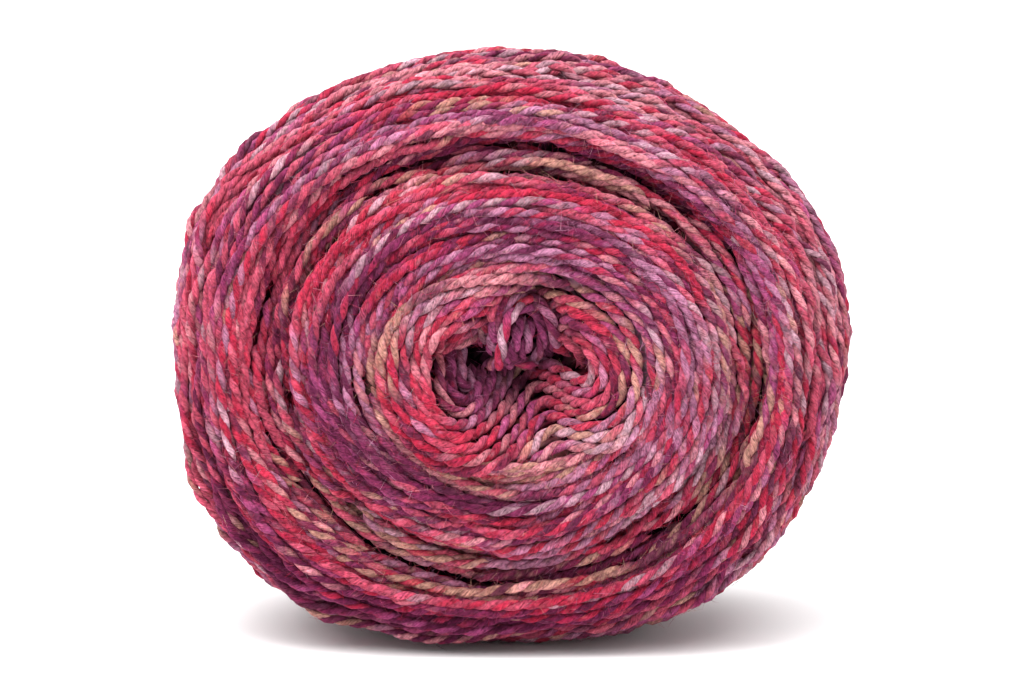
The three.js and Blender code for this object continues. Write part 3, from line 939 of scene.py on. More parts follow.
@dataclass
class Dye:
    """Colours each ply in lengths, with neighbouring turns alike, as in a self-striping yarn."""

    shape: CakeShape
    seed: int
    run: tuple[float, float] = (4, 20)
    blend: float = 1.6
    least_blend: float = 0.6
    stray: float = 0.15
    mingle: float = 0.14
    everywhere: float = 0.3
    core_ring: float = 20
    core_fade: float = 10
    spread: float = 1.6
    tilt: float = 2.6
    strength: float = 0.475
    shades: tuple[float, float] = (0.87, 1.14)
    fleck: float = 0.3
    wave_count: int = 7
    wave_rates: tuple[float, float] = (0.25, 1.3)
    wave_knots: tuple[int, int] = (1, 9)
    wave_contrast: float = 0.95
    waves: Array = field(init=False)
    zones: Array = field(init=False)
    tints: Array = field(init=False)

    def __post_init__(self) -> None:
        """Draw the slow waves that choose the dyes, and tabulate the zones.

        A zone's ring is given as it is seen from the front and a little above. Beyond the
        core its place on the cake lies farther in by spread, less tilt times the sine of
        the angle.
        """
        rng = np.random.default_rng(self.seed)
        size = (2, self.wave_count)
        self.waves = np.stack(
            [
                rng.uniform(*self.wave_rates, size),
                rng.integers(*self.wave_knots, size) * rng.choice([-1, 1], size),
                rng.uniform(0, TURN, size),
            ]
        )
        order = list(Tint)
        self.tints = np.array([tint.light for tint in order])
        rows = []
        for zone in ZONES:
            weights = [zone.tints.get(tint, 0) for tint in order]
            angle = math.radians(zone.angle)
            outer = min(max((zone.across - self.core_ring) / self.core_fade, 0), 1)
            across = zone.across - outer * (self.spread - self.tilt * math.sin(angle))
            along = self.shape.along_of(across) if zone.across > self.core_ring else zone.across
            rows.append([along, angle, zone.reach, math.radians(zone.sweep), *weights])
        self.zones = np.array(rows)

    def _weights(self, along: Array, angle: Array) -> Array:
        """Return how common each dye is at places on the cake.

        A zone counts by a bell curve of the distance from its ring, times another of the
        turn from its angle.
        """
        turn = np.angle(np.exp(1j * (angle[:, None] - self.zones[:, 1])))
        near = np.exp(
            -(((along[:, None] - self.zones[:, 0]) / self.zones[:, 2]) ** 2)
            - (turn / self.zones[:, 3]) ** 2
        )
        common = np.array([COMMON[tint] for tint in Tint])
        return common * self.everywhere + near @ self.zones[:, 4:]

    def _draw(self, weights: Array, chance: Array) -> Array:
        """Return the dye that each chance from 0 to 1 falls on, when each is as wide as its weight."""
        steps = np.cumsum(weights, axis=1) / weights.sum(axis=1, keepdims=True)
        drawn = (chance[:, None] > steps).sum(axis=1)
        return self.tints[np.clip(drawn, 0, len(self.tints) - 1)]

    def pick(self, along: Array, angle: Array, rng: np.random.Generator) -> Array:
        """Return a dye for each place, drawn by how common it is there."""
        return self._draw(self._weights(along, angle), rng.uniform(0, 1, len(along)))

    def ply(self, along: Array, angle: Array, run: Array, ply: int, rng: np.random.Generator) -> Array:
        """Return a ply's colour at each sample of a strand.

        Args:
            along: the samples' distance along the cake.
            angle: the samples' angle.
            run: the samples' distance from the strand's start.
            ply: 0 for the deeper ply, 1 for the paler one.
            rng: where chance comes from.

        Returns:
            One linear colour for each sample.
        """
        cuts = np.cumsum(rng.uniform(*self.run, int(run[-1] / self.run[0]) + 2)) - self.run[1]
        part = np.searchsorted(cuts, run)
        middles = np.clip(np.interp(cuts, run, np.arange(len(run))), 0, len(run) - 1).astype(int)
        middles = middles[np.clip(np.arange(part.max() + 1), 0, len(cuts) - 1)]
        places, turns = along[middles], angle[middles]
        rates, knots, starts = self.waves[:, ply]
        wave = np.sin(places[:, None] * rates + turns[:, None] * knots + starts).sum(axis=1)
        chance = 1 / (1 + np.exp(-wave * self.wave_contrast)) + rng.normal(0, self.stray, len(places))
        weights = self._weights(places, turns)
        if ply:
            weights = weights * np.array([PALE_PLY[tint] for tint in Tint])
        shade = self.strength * rng.uniform(*self.shades, (len(places), 1))
        nearby = weights @ self.tints / weights.sum(axis=1, keepdims=True)
        picked = self._draw(weights, np.clip(chance, 0.001, 0.999))
        colours = ((picked * (1 - self.mingle) + nearby * self.mingle) * shade)[part]
        sigma = max(self.least_blend, self.blend / max(run[1] - run[0], 0.1))
        soft = np.stack([smooth_along(c, sigma) for c in colours.T], axis=1)
        fleck = smooth_along(rng.normal(0, self.fleck, len(run)), 1.0)
        return soft * (1 + fleck)[:, None]


def put(name: str, data: bpy.types.ID) -> bpy.types.Object:
    """Put data into the scene as an object of that name and return it."""
    made = bpy.data.objects.new(name, data)
    bpy.context.scene.collection.objects.link(made)
    return made


def paint(mesh: bpy.types.Mesh, colours: Array) -> None:
    """Store a linear colour for each vertex as the mesh's dye attribute."""
    layer = mesh.color_attributes.new("dye", "FLOAT_COLOR", "POINT")
    full = np.concatenate([colours, np.ones((len(colours), 1))], axis=1)
    layer.data.foreach_set("color", full.astype(np.float32).ravel())


@dataclass
class MeshParts:
    """Vertices, faces and their values, gathered into one mesh."""

    points: list[Array] = field(default_factory=list)
    faces: list[Array] = field(default_factory=list)
    colours: list[Array] = field(default_factory=list)
    uvs: list[Array] = field(default_factory=list)
    count: int = 0

    def add(self, points: Array, quads: Array, colours: Array, uvs: Array) -> None:
        """Add a patch of quads.

        Args:
            points: the vertices, in millimetres.
            quads: four of the patch's own vertices for each face.
            colours: a linear colour for each vertex.
            uvs: a UV for each corner of each face.
        """
        self.points.append(points)
        self.faces.append(quads + self.count)
        self.colours.append(colours)
        self.uvs.append(uvs)
        self.count += len(points)

    def build(self, name: str, material: bpy.types.Material) -> bpy.types.Object:
        """Make one object of all the patches.

        Args:
            name: the object's name.
            material: its finish.

        Returns:
            The object, in the scene.
        """
        points = np.concatenate(self.points) * MM
        quads = np.concatenate(self.faces)
        mesh = bpy.data.meshes.new(name)
        mesh.vertices.add(len(points))
        mesh.vertices.foreach_set("co", points.astype(np.float32).ravel())
        mesh.loops.add(quads.size)
        mesh.loops.foreach_set("vertex_index", quads.astype(np.int32).ravel())
        mesh.polygons.add(len(quads))
        mesh.polygons.foreach_set("loop_start", np.arange(0, quads.size, 4, dtype=np.int32))
        mesh.polygons.foreach_set("use_smooth", np.ones(len(quads), dtype=bool))
        layer = mesh.uv_layers.new(name="fibre")
        layer.data.foreach_set("uv", np.concatenate(self.uvs).astype(np.float32).ravel())
        paint(mesh, np.concatenate(self.colours))
        mesh.update(calc_edges=True)
        mesh.validate()
        mesh.materials.append(material)
        LOG.info("%s: %d triangles", name, 2 * len(quads))
        return put(name, mesh)


def tube_quads(rings: int, sides: int) -> Array:
    """Return the quads of a tube of that many rings, facing outward."""
    ring, side = np.meshgrid(np.arange(rings - 1), np.arange(sides), indexing="ij")
    after = (side + 1) % sides
    corners = [ring * sides + side, ring * sides + after, (ring + 1) * sides + after,
               (ring + 1) * sides + side]
    return np.stack(corners, axis=-1).reshape(-1, 4)


def tube_uvs(run: Array, sides: int, girth: float, shear: float) -> Array:
    """Return the UVs of a tube's quads: run, and the way round plus shear times run.

    Args:
        run: how far along the tube each ring lies.
        sides: how many sides the tube has.
        girth: the whole way round it.
        shear: how much the second value gains for each unit of run.

    Returns:
        A UV for each corner of each quad.
    """
    ring, side = np.meshgrid(np.arange(len(run) - 1), np.arange(sides), indexing="ij")
    corners = []
    for more_run, more_side in ((0, 0), (0, 1), (1, 1), (1, 0)):
        u = run[ring + more_run]
        corners.append(np.stack([u, (side + more_side) / sides * girth + shear * u], axis=-1))
    return np.stack(corners, axis=-2).reshape(-1, 2)


@dataclass(frozen=True)
class TwoPly:
    """How the yarn is built: two plies that wind about each other, leftwards as they rise."""

    offset: float = 0.42
    radial: float = 0.61
    side: float = 0.73
    pitch: float = 6.2
    sides: int = 5
    step: float = 0.88
    uneven: float = 0.12
    uneven_lengths: tuple[float, float] = (9, 16)
    tip: float = 1.5
    least_tip: float = 0.05
    stray: float = 0.09
    stray_blur: float = 1.2
    lumpy: float = 0.18
    lumpy_blur: float = 0.9
    heather: float = 0.45
    slant: float = 0.4
    longest_start: float = 500

    def spin(self, strand: Strand, dye: Dye, parts: MeshParts, rng: np.random.Generator) -> None:
        """Add a strand's two plies to parts.

        Each ply's middle circles the strand's line once in each pitch, and its section is
        an ellipse, flatter towards the other ply.

        Args:
            strand: where the yarn lies.
            dye: what colours it.
            parts: what the plies are added to.
            rng: where chance comes from.
        """
        table = evenly(
            np.column_stack([strand.line, strand.out, strand.along, np.unwrap(strand.angle)]),
            self.step,
        )
        line, out, along, angle = table[:, :3], table[:, 3:6], table[:, 6], table[:, 7]
        run = distances(line)
        way = unit(np.gradient(line, axis=0))
        out = unit(out - (out * way).sum(axis=1, keepdims=True) * way)
        beside = np.cross(way, out)
        length = rng.uniform(*self.uneven_lengths)
        pace = 1 + self.uneven * np.sin(run / length + rng.uniform(0, TURN))
        spacing = run[-1] / (len(run) - 1)
        phase = rng.uniform(0, TURN) - TURN * spacing / self.pitch * np.cumsum(pace)
        tip = np.clip(np.minimum(run, run[-1] - run) / self.tip, self.least_tip, 1)
        start = rng.uniform(0, self.longest_start)
        for ply in range(2):
            turn = (phase + ply * math.pi)[:, None]
            arm = np.cos(turn) * out + np.sin(turn) * beside
            jitter = rng.normal(0, self.stray, (3, len(run)))
            jitter = np.stack([smooth_along(j, self.stray_blur) for j in jitter], axis=1)
            middle = line + arm * self.offset + jitter
            ply_way = unit(np.gradient(middle, axis=0))
            arm = unit(arm - (arm * ply_way).sum(axis=1, keepdims=True) * ply_way)
            flank = np.cross(ply_way, arm)
            swell = 1 + smooth_along(rng.normal(0, self.lumpy, len(run)), self.lumpy_blur)
            thick = (tip * swell)[:, None, None]
            round_ = np.linspace(0, TURN, self.sides, endpoint=False) + math.pi
            section = (
                np.cos(round_)[None, :, None] * arm[:, None] * self.radial
                + np.sin(round_)[None, :, None] * flank[:, None] * self.side
            )
            points = (middle[:, None] + section * thick).reshape(-1, 3)
            colours = np.repeat(dye.ply(along, angle, run, ply, rng), self.sides, axis=0)
            specks = dye.pick(np.repeat(along, self.sides), np.repeat(angle, self.sides), rng)
            share = self.heather * rng.uniform(0, 1, (len(points), 1)) ** 2
            around = TURN * self.side
            parts.add(
                points,
                tube_quads(len(line), self.sides),
                colours * (1 - share) + specks * dye.strength * share,
                tube_uvs(run + start, self.sides, around, self.slant * around / self.pitch),
            )


@dataclass(frozen=True)
class Nodes:
    """Adds and joins the nodes of one material."""

    tree: bpy.types.NodeTree

    def add(self, kind: str, inputs: dict[str | int, object], operation: str = "") -> bpy.types.Node:
        """Add a node and set its inputs.

        Args:
            kind: the node's type, less the part that all shader nodes share.
            inputs: a value or another node's socket for each input, by name or number.
            operation: what the node works out, where it has a choice.

        Returns:
            The node.
        """
        node = self.tree.nodes.new("ShaderNode" + kind)
        if operation:
            node.operation = operation
        for name, value in inputs.items():
            if isinstance(value, bpy.types.NodeSocket):
                self.tree.links.new(value, node.inputs[name])
            else:
                node.inputs[name].default_value = value
        return node

    def object_place(self) -> bpy.types.NodeSocket:
        """Return the socket with object coordinates."""
        return self.add("TexCoord", {}).outputs["Object"]

    def noise(self, place: bpy.types.NodeSocket, scale: float, detail: float) -> bpy.types.NodeSocket:
        """Return a noise over places."""
        inputs = {"Vector": place, "Scale": scale, "Detail": detail}
        return self.add("TexNoise", inputs).outputs["Fac"]

    def spread(self, noise: bpy.types.NodeSocket, low: float, high: float) -> bpy.types.NodeSocket:
        """Return a noise with its middle range drawn out to run from low to high."""
        start, end = NOISE_RANGE
        inputs = {"Value": noise, "From Min": start, "From Max": end, "To Min": low, "To Max": high}
        return self.add("MapRange", inputs).outputs["Result"]

    def maths(self, operation: str, *values: bpy.types.NodeSocket | float) -> bpy.types.NodeSocket:
        """Return the outcome of a sum on values or sockets."""
        return self.add("Math", dict(enumerate(values)), operation).outputs["Value"]

    def dress(self, tone: bpy.types.NodeSocket, inputs: dict[str, object]) -> None:
        """Colour the shader by the dye attribute times a tone, and set its other inputs."""
        dye = self.add("Attribute", {})
        dye.attribute_name = "dye"
        toned = self.add("VectorMath", {0: dye.outputs["Color"], "Scale": tone}, "SCALE")
        shader = self.tree.nodes["Principled BSDF"]
        self.tree.links.new(toned.outputs["Vector"], shader.inputs["Base Color"])
        for name, value in inputs.items():
            shader.inputs[name].default_value = value


class Hair(NamedTuple):
    """Fine lines on the yarn: how fine, how far turned in radians, how much lighter."""

    scale: float
    slope: float
    gain: float


@dataclass(frozen=True)
class YarnFinish:
    """Soft wool: dyed plies with fine fibre streaks, a faint sheen and no gloss."""

    name: str = "wool"
    roughness: float = 0.95
    gloss: float = 0.02
    sheen: float = 0.25
    sheen_roughness: float = 0.5
    sheen_tint: tuple[float, float, float, float] = (0.8, 0.2, 0.35, 1)
    streak: tuple[float, float, float] = (0.5, 3.0, 1)
    streak_detail: float = 3.0
    streak_roughness: float = 0.6
    contrast: float = 0.6
    bump: float = 1.0
    dent: float = 0.35
    grain: float = 1500.0
    grain_detail: float = 2.0
    mottle: float = 0.45
    hairs: tuple[Hair, ...] = (Hair(2.3, 0.4, 0.3), Hair(2.9, -0.3, -0.35), Hair(3.7, 0.15, 0.3))
    hair_shape: tuple[float, float] = (0.35, 1.6)
    hair_detail: float = 1.5
    hair_width: float = 0.11

    def material(self) -> bpy.types.Material:
        """Return the material, which reads the piece's dye attribute and fibre UVs."""
        made = bpy.data.materials.new(self.name)
        made.use_nodes = True
        nodes = Nodes(made.node_tree)
        fibre = nodes.add("UVMap", {})
        fibre.uv_map = "fibre"
        uv = fibre.outputs["UV"]
        stretch = nodes.add("Mapping", {"Vector": uv, "Scale": self.streak})
        streaks = nodes.add("TexNoise", {
            "Vector": stretch.outputs["Vector"],
            "Scale": 1.0,
            "Detail": self.streak_detail,
            "Roughness": self.streak_roughness,
        }).outputs["Fac"]
        tone = nodes.spread(streaks, 1 - self.contrast, 1 + self.contrast)
        for hair in self.hairs:
            tone = nodes.maths("ADD", tone, self._lines(nodes, uv, hair))
        # A fine random mottle over all the yarn: partly the fibres' own heathering, partly painted shade of
        # fuzz.
        grain = nodes.noise(nodes.object_place(), self.grain, self.grain_detail)
        tone = nodes.maths("ADD", tone, nodes.spread(grain, -self.mottle, self.mottle))
        nodes.dress(tone, {
            "Roughness": self.roughness,
            "Sheen Weight": self.sheen,
            "Sheen Roughness": self.sheen_roughness,
            "Sheen Tint": self.sheen_tint,
            "Specular IOR Level": self.gloss,
        })
        inputs = {"Strength": self.bump, "Distance": self.dent * MM, "Height": streaks}
        bump = nodes.add("Bump", inputs)
        shader = made.node_tree.nodes["Principled BSDF"]
        made.node_tree.links.new(bump.outputs["Normal"], shader.inputs["Normal"])
        return made

    def _lines(self, nodes: Nodes, uv: bpy.types.NodeSocket, hair: Hair) -> bpy.types.NodeSocket:
        """Return thin slanting lines, which lie where a stretched noise passes its middle.

        Args:
            nodes: the material's nodes.
            uv: the fibre UVs.
            hair: what the lines are like.

        Returns:
            The lines' gain on them, and 0 elsewhere.
        """
        wide, high = self.hair_shape
        scale = (wide * hair.scale, high * hair.scale, 1)
        turn = nodes.add("Mapping", {"Vector": uv, "Rotation": (0, 0, hair.slope), "Scale": scale})
        noise = nodes.noise(turn.outputs["Vector"], 1.0, self.hair_detail)
        away = nodes.maths("ABSOLUTE", nodes.maths("SUBTRACT", noise, 0.5))
        inputs = {"Value": away, "From Max": self.hair_width, "To Min": hair.gain, "To Max": 0.0}
        return nodes.add("MapRange", inputs).outputs["Result"]


@dataclass(frozen=True)
class DeepFinish:
    """The yarn deep between the turns: its dyes in stripes round the axis, with painted shade in the dark
    lines between the stripes, mottled.
    """

    name: str = "deep_wool"
    roughness: float = 0.95
    gloss: float = 0.02
    grain: float = 420.0
    grain_detail: float = 3.0
    tones: tuple[float, float] = (0.4, 1.6)
    turns: float = 140.0
    turn_waver: float = 2.5
    turn_detail: float = 1.0

    def material(self) -> bpy.types.Material:
        """Return the material, which reads the dye attribute and object coordinates."""
        made = bpy.data.materials.new(self.name)
        made.use_nodes = True
        nodes = Nodes(made.node_tree)
        place = nodes.object_place()
        shade = nodes.spread(nodes.noise(place, self.grain, self.grain_detail), *self.tones)
        turns = nodes.add("TexWave", {
            "Vector": place,
            "Scale": self.turns,
            "Distortion": self.turn_waver,
            "Detail": self.turn_detail,
        })
        turns.bands_direction = "Y"
        # The wave's dark bands are painted shade between the deep turns.
        tone = nodes.maths("MULTIPLY", shade, turns.outputs["Fac"])
        nodes.dress(tone, {"Roughness": self.roughness, "Specular IOR Level": self.gloss})
        return made


@dataclass(frozen=True)
class WoundMass:
    """The closed mass of yarn that lies under the turns that show, its dyes darkened by painted shade for
    its depth.
    """

    sink: float
    name: str = "wound_mass"
    rows: int = 130
    columns: int = 120
    floor_clear: float = 1.2
    painted_depth_shade: float = 0.6

    def build(self, shape: CakeShape, excess: Array, dye: Dye, finish: bpy.types.Material,
              rng: np.random.Generator) -> bpy.types.Object:
        """Make the closed surface, sunk below the cake's form and the pressed yarn.

        Args:
            shape: the cake's outer form.
            excess: how far the heap stood over that form.
            dye: what colours the yarn.
            finish: the surface's material, which reads its dye attribute.
            rng: where chance comes from.

        Returns:
            The piece.
        """
        last = shape.rows - 1
        along = np.linspace(0, last, self.rows + 2)[1:-1] * shape.row_step
        angle = np.linspace(0, TURN, self.columns, endpoint=False)
        a, b = np.meshgrid(along, angle, indexing="ij")
        sink = self.sink + np.maximum(shape.look(excess, a, b), 0)[..., None]
        points = shape.look(shape.places, a, b) - shape.look(shape.outward, a, b) * sink
        points[..., 2] = np.maximum(points[..., 2], self.floor_clear)
        poles = np.stack([shape.places[0, 0], shape.places[last, 0]])
        poles[:, 1] += np.array([1, -1]) * self.sink
        ring = np.arange(self.columns)
        after = (ring + 1) % self.columns
        count = self.rows * self.columns
        base = count - self.columns
        front = np.stack([np.full_like(ring, count), ring, after], axis=1)
        back = np.stack([np.full_like(ring, count + 1), base + after, base + ring], axis=1)
        quads = tube_quads(self.rows, self.columns)[:, ::-1]
        mesh = bpy.data.meshes.new(self.name)
        every = np.vstack([points.reshape(-1, 3), poles]) * MM
        mesh.from_pydata(every.tolist(), [], quads.tolist() + front.tolist() + back.tolist())
        mesh.polygons.foreach_set("use_smooth", np.ones(len(mesh.polygons), dtype=bool))
        marl = dye.pick(a.ravel(), b.ravel(), rng).reshape(self.rows, self.columns, 3)
        # The deep yarn's dyes are averaged and scaled down here as painted shade for its depth.
        marl = (marl + np.roll(marl, 1, axis=1)) / 2 * dye.strength * self.painted_depth_shade
        paint(mesh, np.vstack([marl.reshape(-1, 3), np.tile(marl.mean(axis=(0, 1)), (2, 1))]))
        mesh.materials.append(finish)
        LOG.info("%s: %d triangles", self.name, 2 * len(quads) + len(front) + len(back))
        return put(self.name, mesh)


@dataclass
class LooseEnd:
    """The yarn's inner end, which hooks over in the core and thins at both tips."""

    yarn: TwoPly
    diameter: float = 2.4
    detail: int = 10
    step: float = 0.5
    dyed_as: tuple[float, float] = (3, 1.2)

    def strand(self, shape: CakeShape) -> Strand:
        """Return its line, which follows the CAD solid's.

        Its flattest direction counts as out, and it is dyed as the yarn at one place.
        """
        points = catmull_rom(LOOSE_END, self.detail)
        line = np.stack([points[:, 0], -points[:, 2], points[:, 1]], axis=1)
        line = evenly(line, self.step) + shape.face_centre
        flat = np.linalg.svd(line - line.mean(axis=0))[2][2]
        along, angle = (np.full(len(line), float(value)) for value in self.dyed_as)
        return Strand(line, np.tile(flat, (len(line), 1)), along, angle)

    def build(self, shape: CakeShape, finish: bpy.types.Material, dye: Dye,
              rng: np.random.Generator) -> bpy.types.Object:
        """Args:
            shape: the cake's outer form.
            finish: the yarn's material.
            dye: what colours the yarn.
            rng: where chance comes from.

        Returns:
            The piece.
        """
        strand = self.strand(shape)
        parts = MeshParts()
        self.yarn.spin(strand, dye, parts, rng)
        piece = parts.build("loose_end", finish)
        run = distances(strand.line)[-1] * MM
        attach(piece, "root")
        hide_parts("inner_end")
        return piece


@dataclass(frozen=True)
class Fuzz:
    """Fine fibres that lie about the yarn and stand off it a little."""

    name: str
    count: int
    lengths: tuple[float, float] = (1.0, 3.4)
    spots: tuple[float, float] = (0.03, 0.97)
    radius: float = 0.032
    taper: float = 0.75
    joints: int = 1
    sides: int = 3
    lean: float = 1.2
    lift: float = 1.0
    rise: float = 0.35
    forward: float = 0.8
    sideways: float = 0.9
    curls: tuple[float, float] = (0.1, 0.6)
    curl_share: float = 0.6
    floor_clear: float = 0.1
    shades: tuple[float, float] = (0.6, 1.5)
    nudge: tuple[float, float, float] = (0.01, 0.02, 0.03)

    def build(self, strands: list[Strand], dye: Dye, finish: bpy.types.Material,
              rng: np.random.Generator) -> bpy.types.Object:
        """Make every fibre as a thin bent tube, rooted on a strand's outer side.

        Args:
            strands: the strands that they grow on, longer ones with more of them.
            dye: what colours them.
            finish: their material.
            rng: where chance comes from.

        Returns:
            The piece.
        """
        many = (self.count, 1)
        lengths = np.array([s.length for s in strands])
        owners = rng.choice(len(strands), self.count, p=lengths / lengths.sum())
        spots = rng.uniform(*self.spots, self.count)
        sizes = np.array([len(s.line) for s in strands])
        at = (np.cumsum(sizes) - sizes)[owners] + (spots * (sizes[owners] - 2)).astype(int)
        lines = np.concatenate([s.line for s in strands])
        way = unit(lines[at + 1] - lines[at])
        out = unit(np.concatenate([s.out for s in strands])[at])
        along = np.concatenate([s.along for s in strands])[at]
        angle = np.concatenate([s.angle for s in strands])[at]
        beside = np.cross(way, out)
        lean = rng.uniform(-self.lean, self.lean, many)
        stand = np.cos(lean) * out + np.sin(lean) * beside
        root = lines[at] + stand * self.lift
        heading = unit(
            stand * self.rise * rng.uniform(0.0, 1.0, many) ** 2
            + way * rng.normal(0, self.forward, many)
            + beside * rng.normal(0, self.sideways, many)
        )
        curl = unit(rng.normal(0, 1, (self.count, 3))) * rng.uniform(*self.curls, many)
        length = rng.uniform(*self.lengths, many)
        t = np.linspace(0, 1, self.joints + 1)[None, :, None]
        bent = heading[:, None] * t + curl[:, None] * t**2 * self.curl_share
        line = root[:, None] + bent * length[:, None]
        line[..., 2] = np.maximum(line[..., 2], self.floor_clear)
        ways = unit(np.gradient(line, axis=1))
        one = unit(np.cross(ways, curl[:, None] + np.array(self.nudge)))
        two = np.cross(ways, one)
        round_ = np.linspace(0, TURN, self.sides, endpoint=False)
        thin = (self.radius * (1 - self.taper * t))[..., None]
        points = line[:, :, None] + thin * (
            np.cos(round_)[:, None] * one[:, :, None] + np.sin(round_)[:, None] * two[:, :, None]
        )
        each = (self.joints + 1) * self.sides
        quads = tube_quads(self.joints + 1, self.sides)
        every = (quads[None] + (np.arange(self.count) * each)[:, None, None]).reshape(-1, 4)
        shade = dye.strength * rng.uniform(*self.shades, many)
        colours = np.repeat(dye.pick(along, angle, rng) * shade, each, axis=0)
        parts = MeshParts()
        parts.add(points.reshape(-1, 3), every, colours, np.zeros((every.size, 2)))
        return parts.build(self.name, finish)


@dataclass(frozen=True)
class Studio:
    """The pale floor, the even white surroundings, a wide lamp above, a softbox and the camera."""

    distance: float = 0.9
    azimuth: float = 2.9
    elevation: float = 6.7
    lens: float = 160.5
    clip: tuple[float, float] = (0.01, 100)
    target: tuple[float, float, float] = (-0.0002, 0.0, 0.0565)
    floor_reach: float = 30.0
    floor_colour: tuple[float, float, float, float] = (0.95, 0.95, 0.95, 1)
    floor_roughness: float = 0.7
    surroundings: float = 1.0
    lamp_strength: float = 4.0
    lamp_spread: float = 80
    lamp_place: tuple[float, float, float] = (-0.12, -0.34, 0.93)
    box_strength: float = 1.5
    box_size: float = 0.25
    box_place: tuple[float, float, float] = (-0.05, -0.24, 0.42)

    def camera(self) -> None:
        """Make the camera at the photograph's viewing angle."""
        data = bpy.data.cameras.new("camera")
        data.lens = self.lens
        data.clip_start, data.clip_end = self.clip
        camera = put("camera", data)
        a, e = math.radians(self.azimuth), math.radians(self.elevation)
        back = Vector((math.sin(a) * math.cos(e), -math.cos(a) * math.cos(e), math.sin(e)))
        camera.location = Vector(self.target) + back * self.distance
        camera.rotation_mode = "QUATERNION"
        camera.rotation_quaternion = (-back).to_track_quat("-Z", "Y")
        bpy.context.scene.camera = camera

    def floor(self) -> None:
        """Make the floor."""
        mesh = bpy.data.meshes.new("floor")
        size = self.floor_reach
        corners = [(-size, -size, 0), (size, -size, 0), (size, size, 0), (-size, size, 0)]
        mesh.from_pydata(corners, [], [(0, 1, 2, 3)])
        made = bpy.data.materials.new("floor")
        made.use_nodes = True
        shader = made.node_tree.nodes["Principled BSDF"]
        shader.inputs["Base Color"].default_value = self.floor_colour
        shader.inputs["Roughness"].default_value = self.floor_roughness
        mesh.materials.append(made)
        floor = put("floor", mesh)

    def lights(self) -> None:
        """Make the surroundings, the wide lamp and the softbox."""
        scene = bpy.context.scene
        scene.view_settings.view_transform = "Standard"
        world = bpy.data.worlds.new("surroundings")
        world.use_nodes = True
        background = world.node_tree.nodes["Background"]
        background.inputs["Color"].default_value = (1, 1, 1, 1)
        background.inputs["Strength"].default_value = self.surroundings
        scene.world = world
        lamp = bpy.data.lights.new("above", "SUN")
        lamp.energy = self.lamp_strength
        lamp.angle = math.radians(self.lamp_spread)
        self._hang(lamp, Vector(self.lamp_place))
        box = bpy.data.lights.new("softbox", "AREA")
        box.energy = self.box_strength
        box.size = self.box_size
        self._hang(box, Vector(self.box_place))

    def _hang(self, data: bpy.types.Light, place: Vector) -> None:
        """Hang a light at a place, facing the cake."""
        light = put(data.name, data)
        light.location = place
        light.rotation_mode = "QUATERNION"
        light.rotation_quaternion = (Vector(self.target) - place).to_track_quat("-Z", "Y")


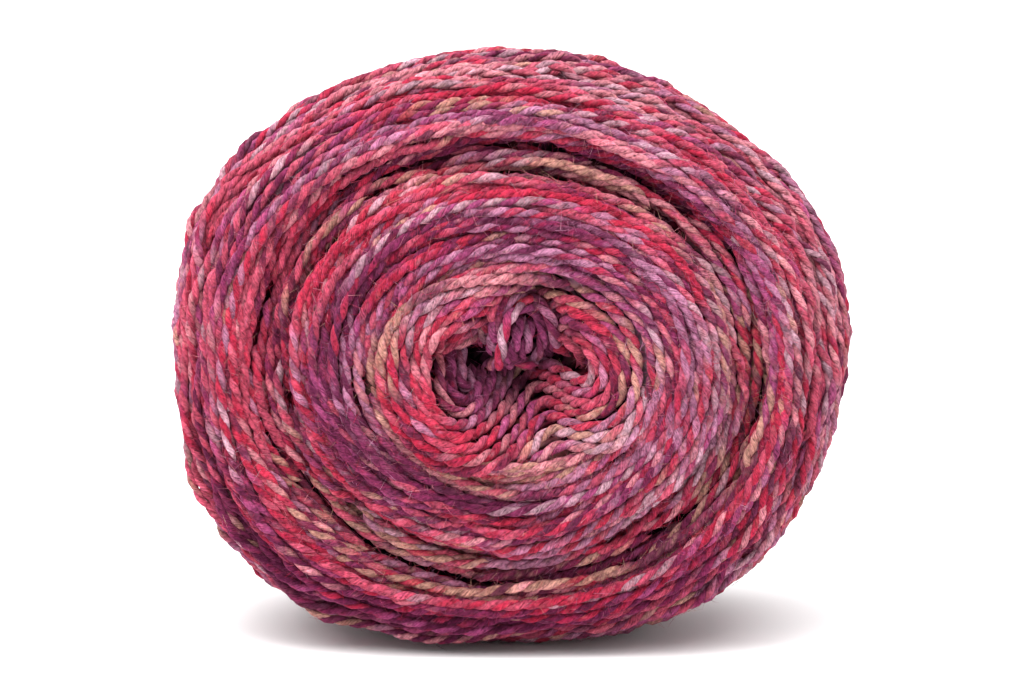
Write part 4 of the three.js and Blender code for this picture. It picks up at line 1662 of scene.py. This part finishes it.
@dataclass(frozen=True)
class Cake:
    """The whole cake: its mass, dark with painted shade, its turns, its core, its loose end and its fuzz.
    """

    sink: float = 3.2
    mass_sink: float = 2.8
    core_sink: float = 1.8
    seed: int = 11
    dye_seed: int = 5
    core_ring: float = 24.5
    valley_ring: float = 46
    valley_shift: float = 1.2
    shoulder_ring: float = 61
    far_ring: float = 56
    fine: TwoPly = TwoPly()
    coarse: TwoPly = TwoPly(sides=4, step=1.25)
    slack: TwoPly = TwoPly(offset=0.53, radial=0.66, side=0.78, pitch=7.4, sides=7, step=0.7)
    face_fuzz: Fuzz = Fuzz("face_fibres", 27500)
    rim_fuzz: Fuzz = Fuzz("rim_fibres", 6000)

    def _wind(self, heap: Heap, rng: np.random.Generator) -> dict[str, list[Strand]]:
        """Lay every turn outside the core, the outer winding first.

        Args:
            heap: the bare heap over the cake's form.
            rng: where chance comes from.

        Returns:
            The strands by the part of the cake where they lie.
        """
        shape = heap.shape
        valley = shape.along_of(self.valley_ring) + self.valley_shift
        shoulder = shape.along_of(self.shoulder_ring)
        far = shape.along_of(self.far_ring, front=False)
        end = (shape.rows - 1) * shape.row_step
        layers = (
            ("wrap", OuterWrap(front=(shoulder - 7, shoulder + 5), back=(far - 2, far + 9))),
            ("groove", FaceTurns(inner=valley - 3.6, outer=valley + 2.4, total=2400,
                                 halves=(25, 60), slopes=(0.0, 0.03), tries=8)),
            ("band", FaceTurns(inner=valley + 1.5, outer=shoulder + 7, total=7100,
                               halves=(28, 85), slopes=(0.01, 0.1), tries=3)),
            ("inner", FaceTurns(inner=shape.along_of(self.core_ring), outer=valley - 1.3, total=4700,
                                slopes=(0.01, 0.11), tries=3)),
            ("far", FaceTurns(inner=far - 6, outer=end - 3, total=5300, halves=(25, 80))),
            ("far", FaceTurns(inner=end - 14, outer=end - 2, total=700, halves=(6, 16), tries=6,
                              dive_length=4)),
            ("band", FaceTurns(inner=valley - 3.4, outer=valley + 3.6, total=1400, halves=(9, 24),
                               slopes=(0.0, 0.04), tries=12, dive=1.2, dive_length=5)),
        )
        laid: dict[str, list[Strand]] = {}
        for name, layer in layers:
            laid.setdefault(name, []).extend(layer.lay(heap, rng))
        return laid

    def build(self) -> None:
        """Make every piece and tie it to the frame."""
        rng = np.random.default_rng(self.seed)
        shape = CakeShape()
        dye = Dye(shape, self.dye_seed)
        wool = YarnFinish().material()
        LooseEnd(self.slack).build(shape, wool, dye, rng)
        heap = Heap(shape, -self.sink)
        laid = self._wind(heap, rng)
        excess = heap.excess()
        heap.press(sum(laid.values(), []), excess)
        mass = WoundMass(self.mass_sink).build(shape, excess, dye, DeepFinish().material(), rng)
        core_heap = CoreHeap(shape, self.core_sink)
        core_heap.include(laid["inner"])
        core = [core_heap.lay(points) for points in CORE_LINES.values()]
        wrap, band, inner, far = laid["wrap"], laid["band"], laid["inner"], laid["far"]
        half = len(wrap) // 2
        groups = {
            "core_turns": (core, self.slack),
            "inner_turns": (inner + laid["groove"], self.fine),
            "shoulder_turns": (band, self.fine),
            "rim_turns_lower": (wrap[:half], self.coarse),
            "rim_turns_upper": (wrap[half:], self.coarse),
            "far_end_turns": (far, self.coarse),
        }
        pieces = [mass]
        for name, (strands, yarn) in groups.items():
            parts = MeshParts()
            for strand in strands:
                yarn.spin(strand, dye, parts, rng)
            pieces.append(parts.build(name, wool))
        pieces.append(self.face_fuzz.build(core + inner + band, dye, wool, rng))
        pieces.append(self.rim_fuzz.build(wrap + far, dye, wool, rng))
        for piece in pieces:
            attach(piece, "root")
            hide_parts("wound_yarn")


def main() -> None:
    logging.basicConfig(level=logging.INFO, format="%(name)s: %(message)s")
    studio = Studio()
    studio.camera()
    Cake().build()
    studio.floor()
    studio.lights()


if __name__ == "__main__":
    main()
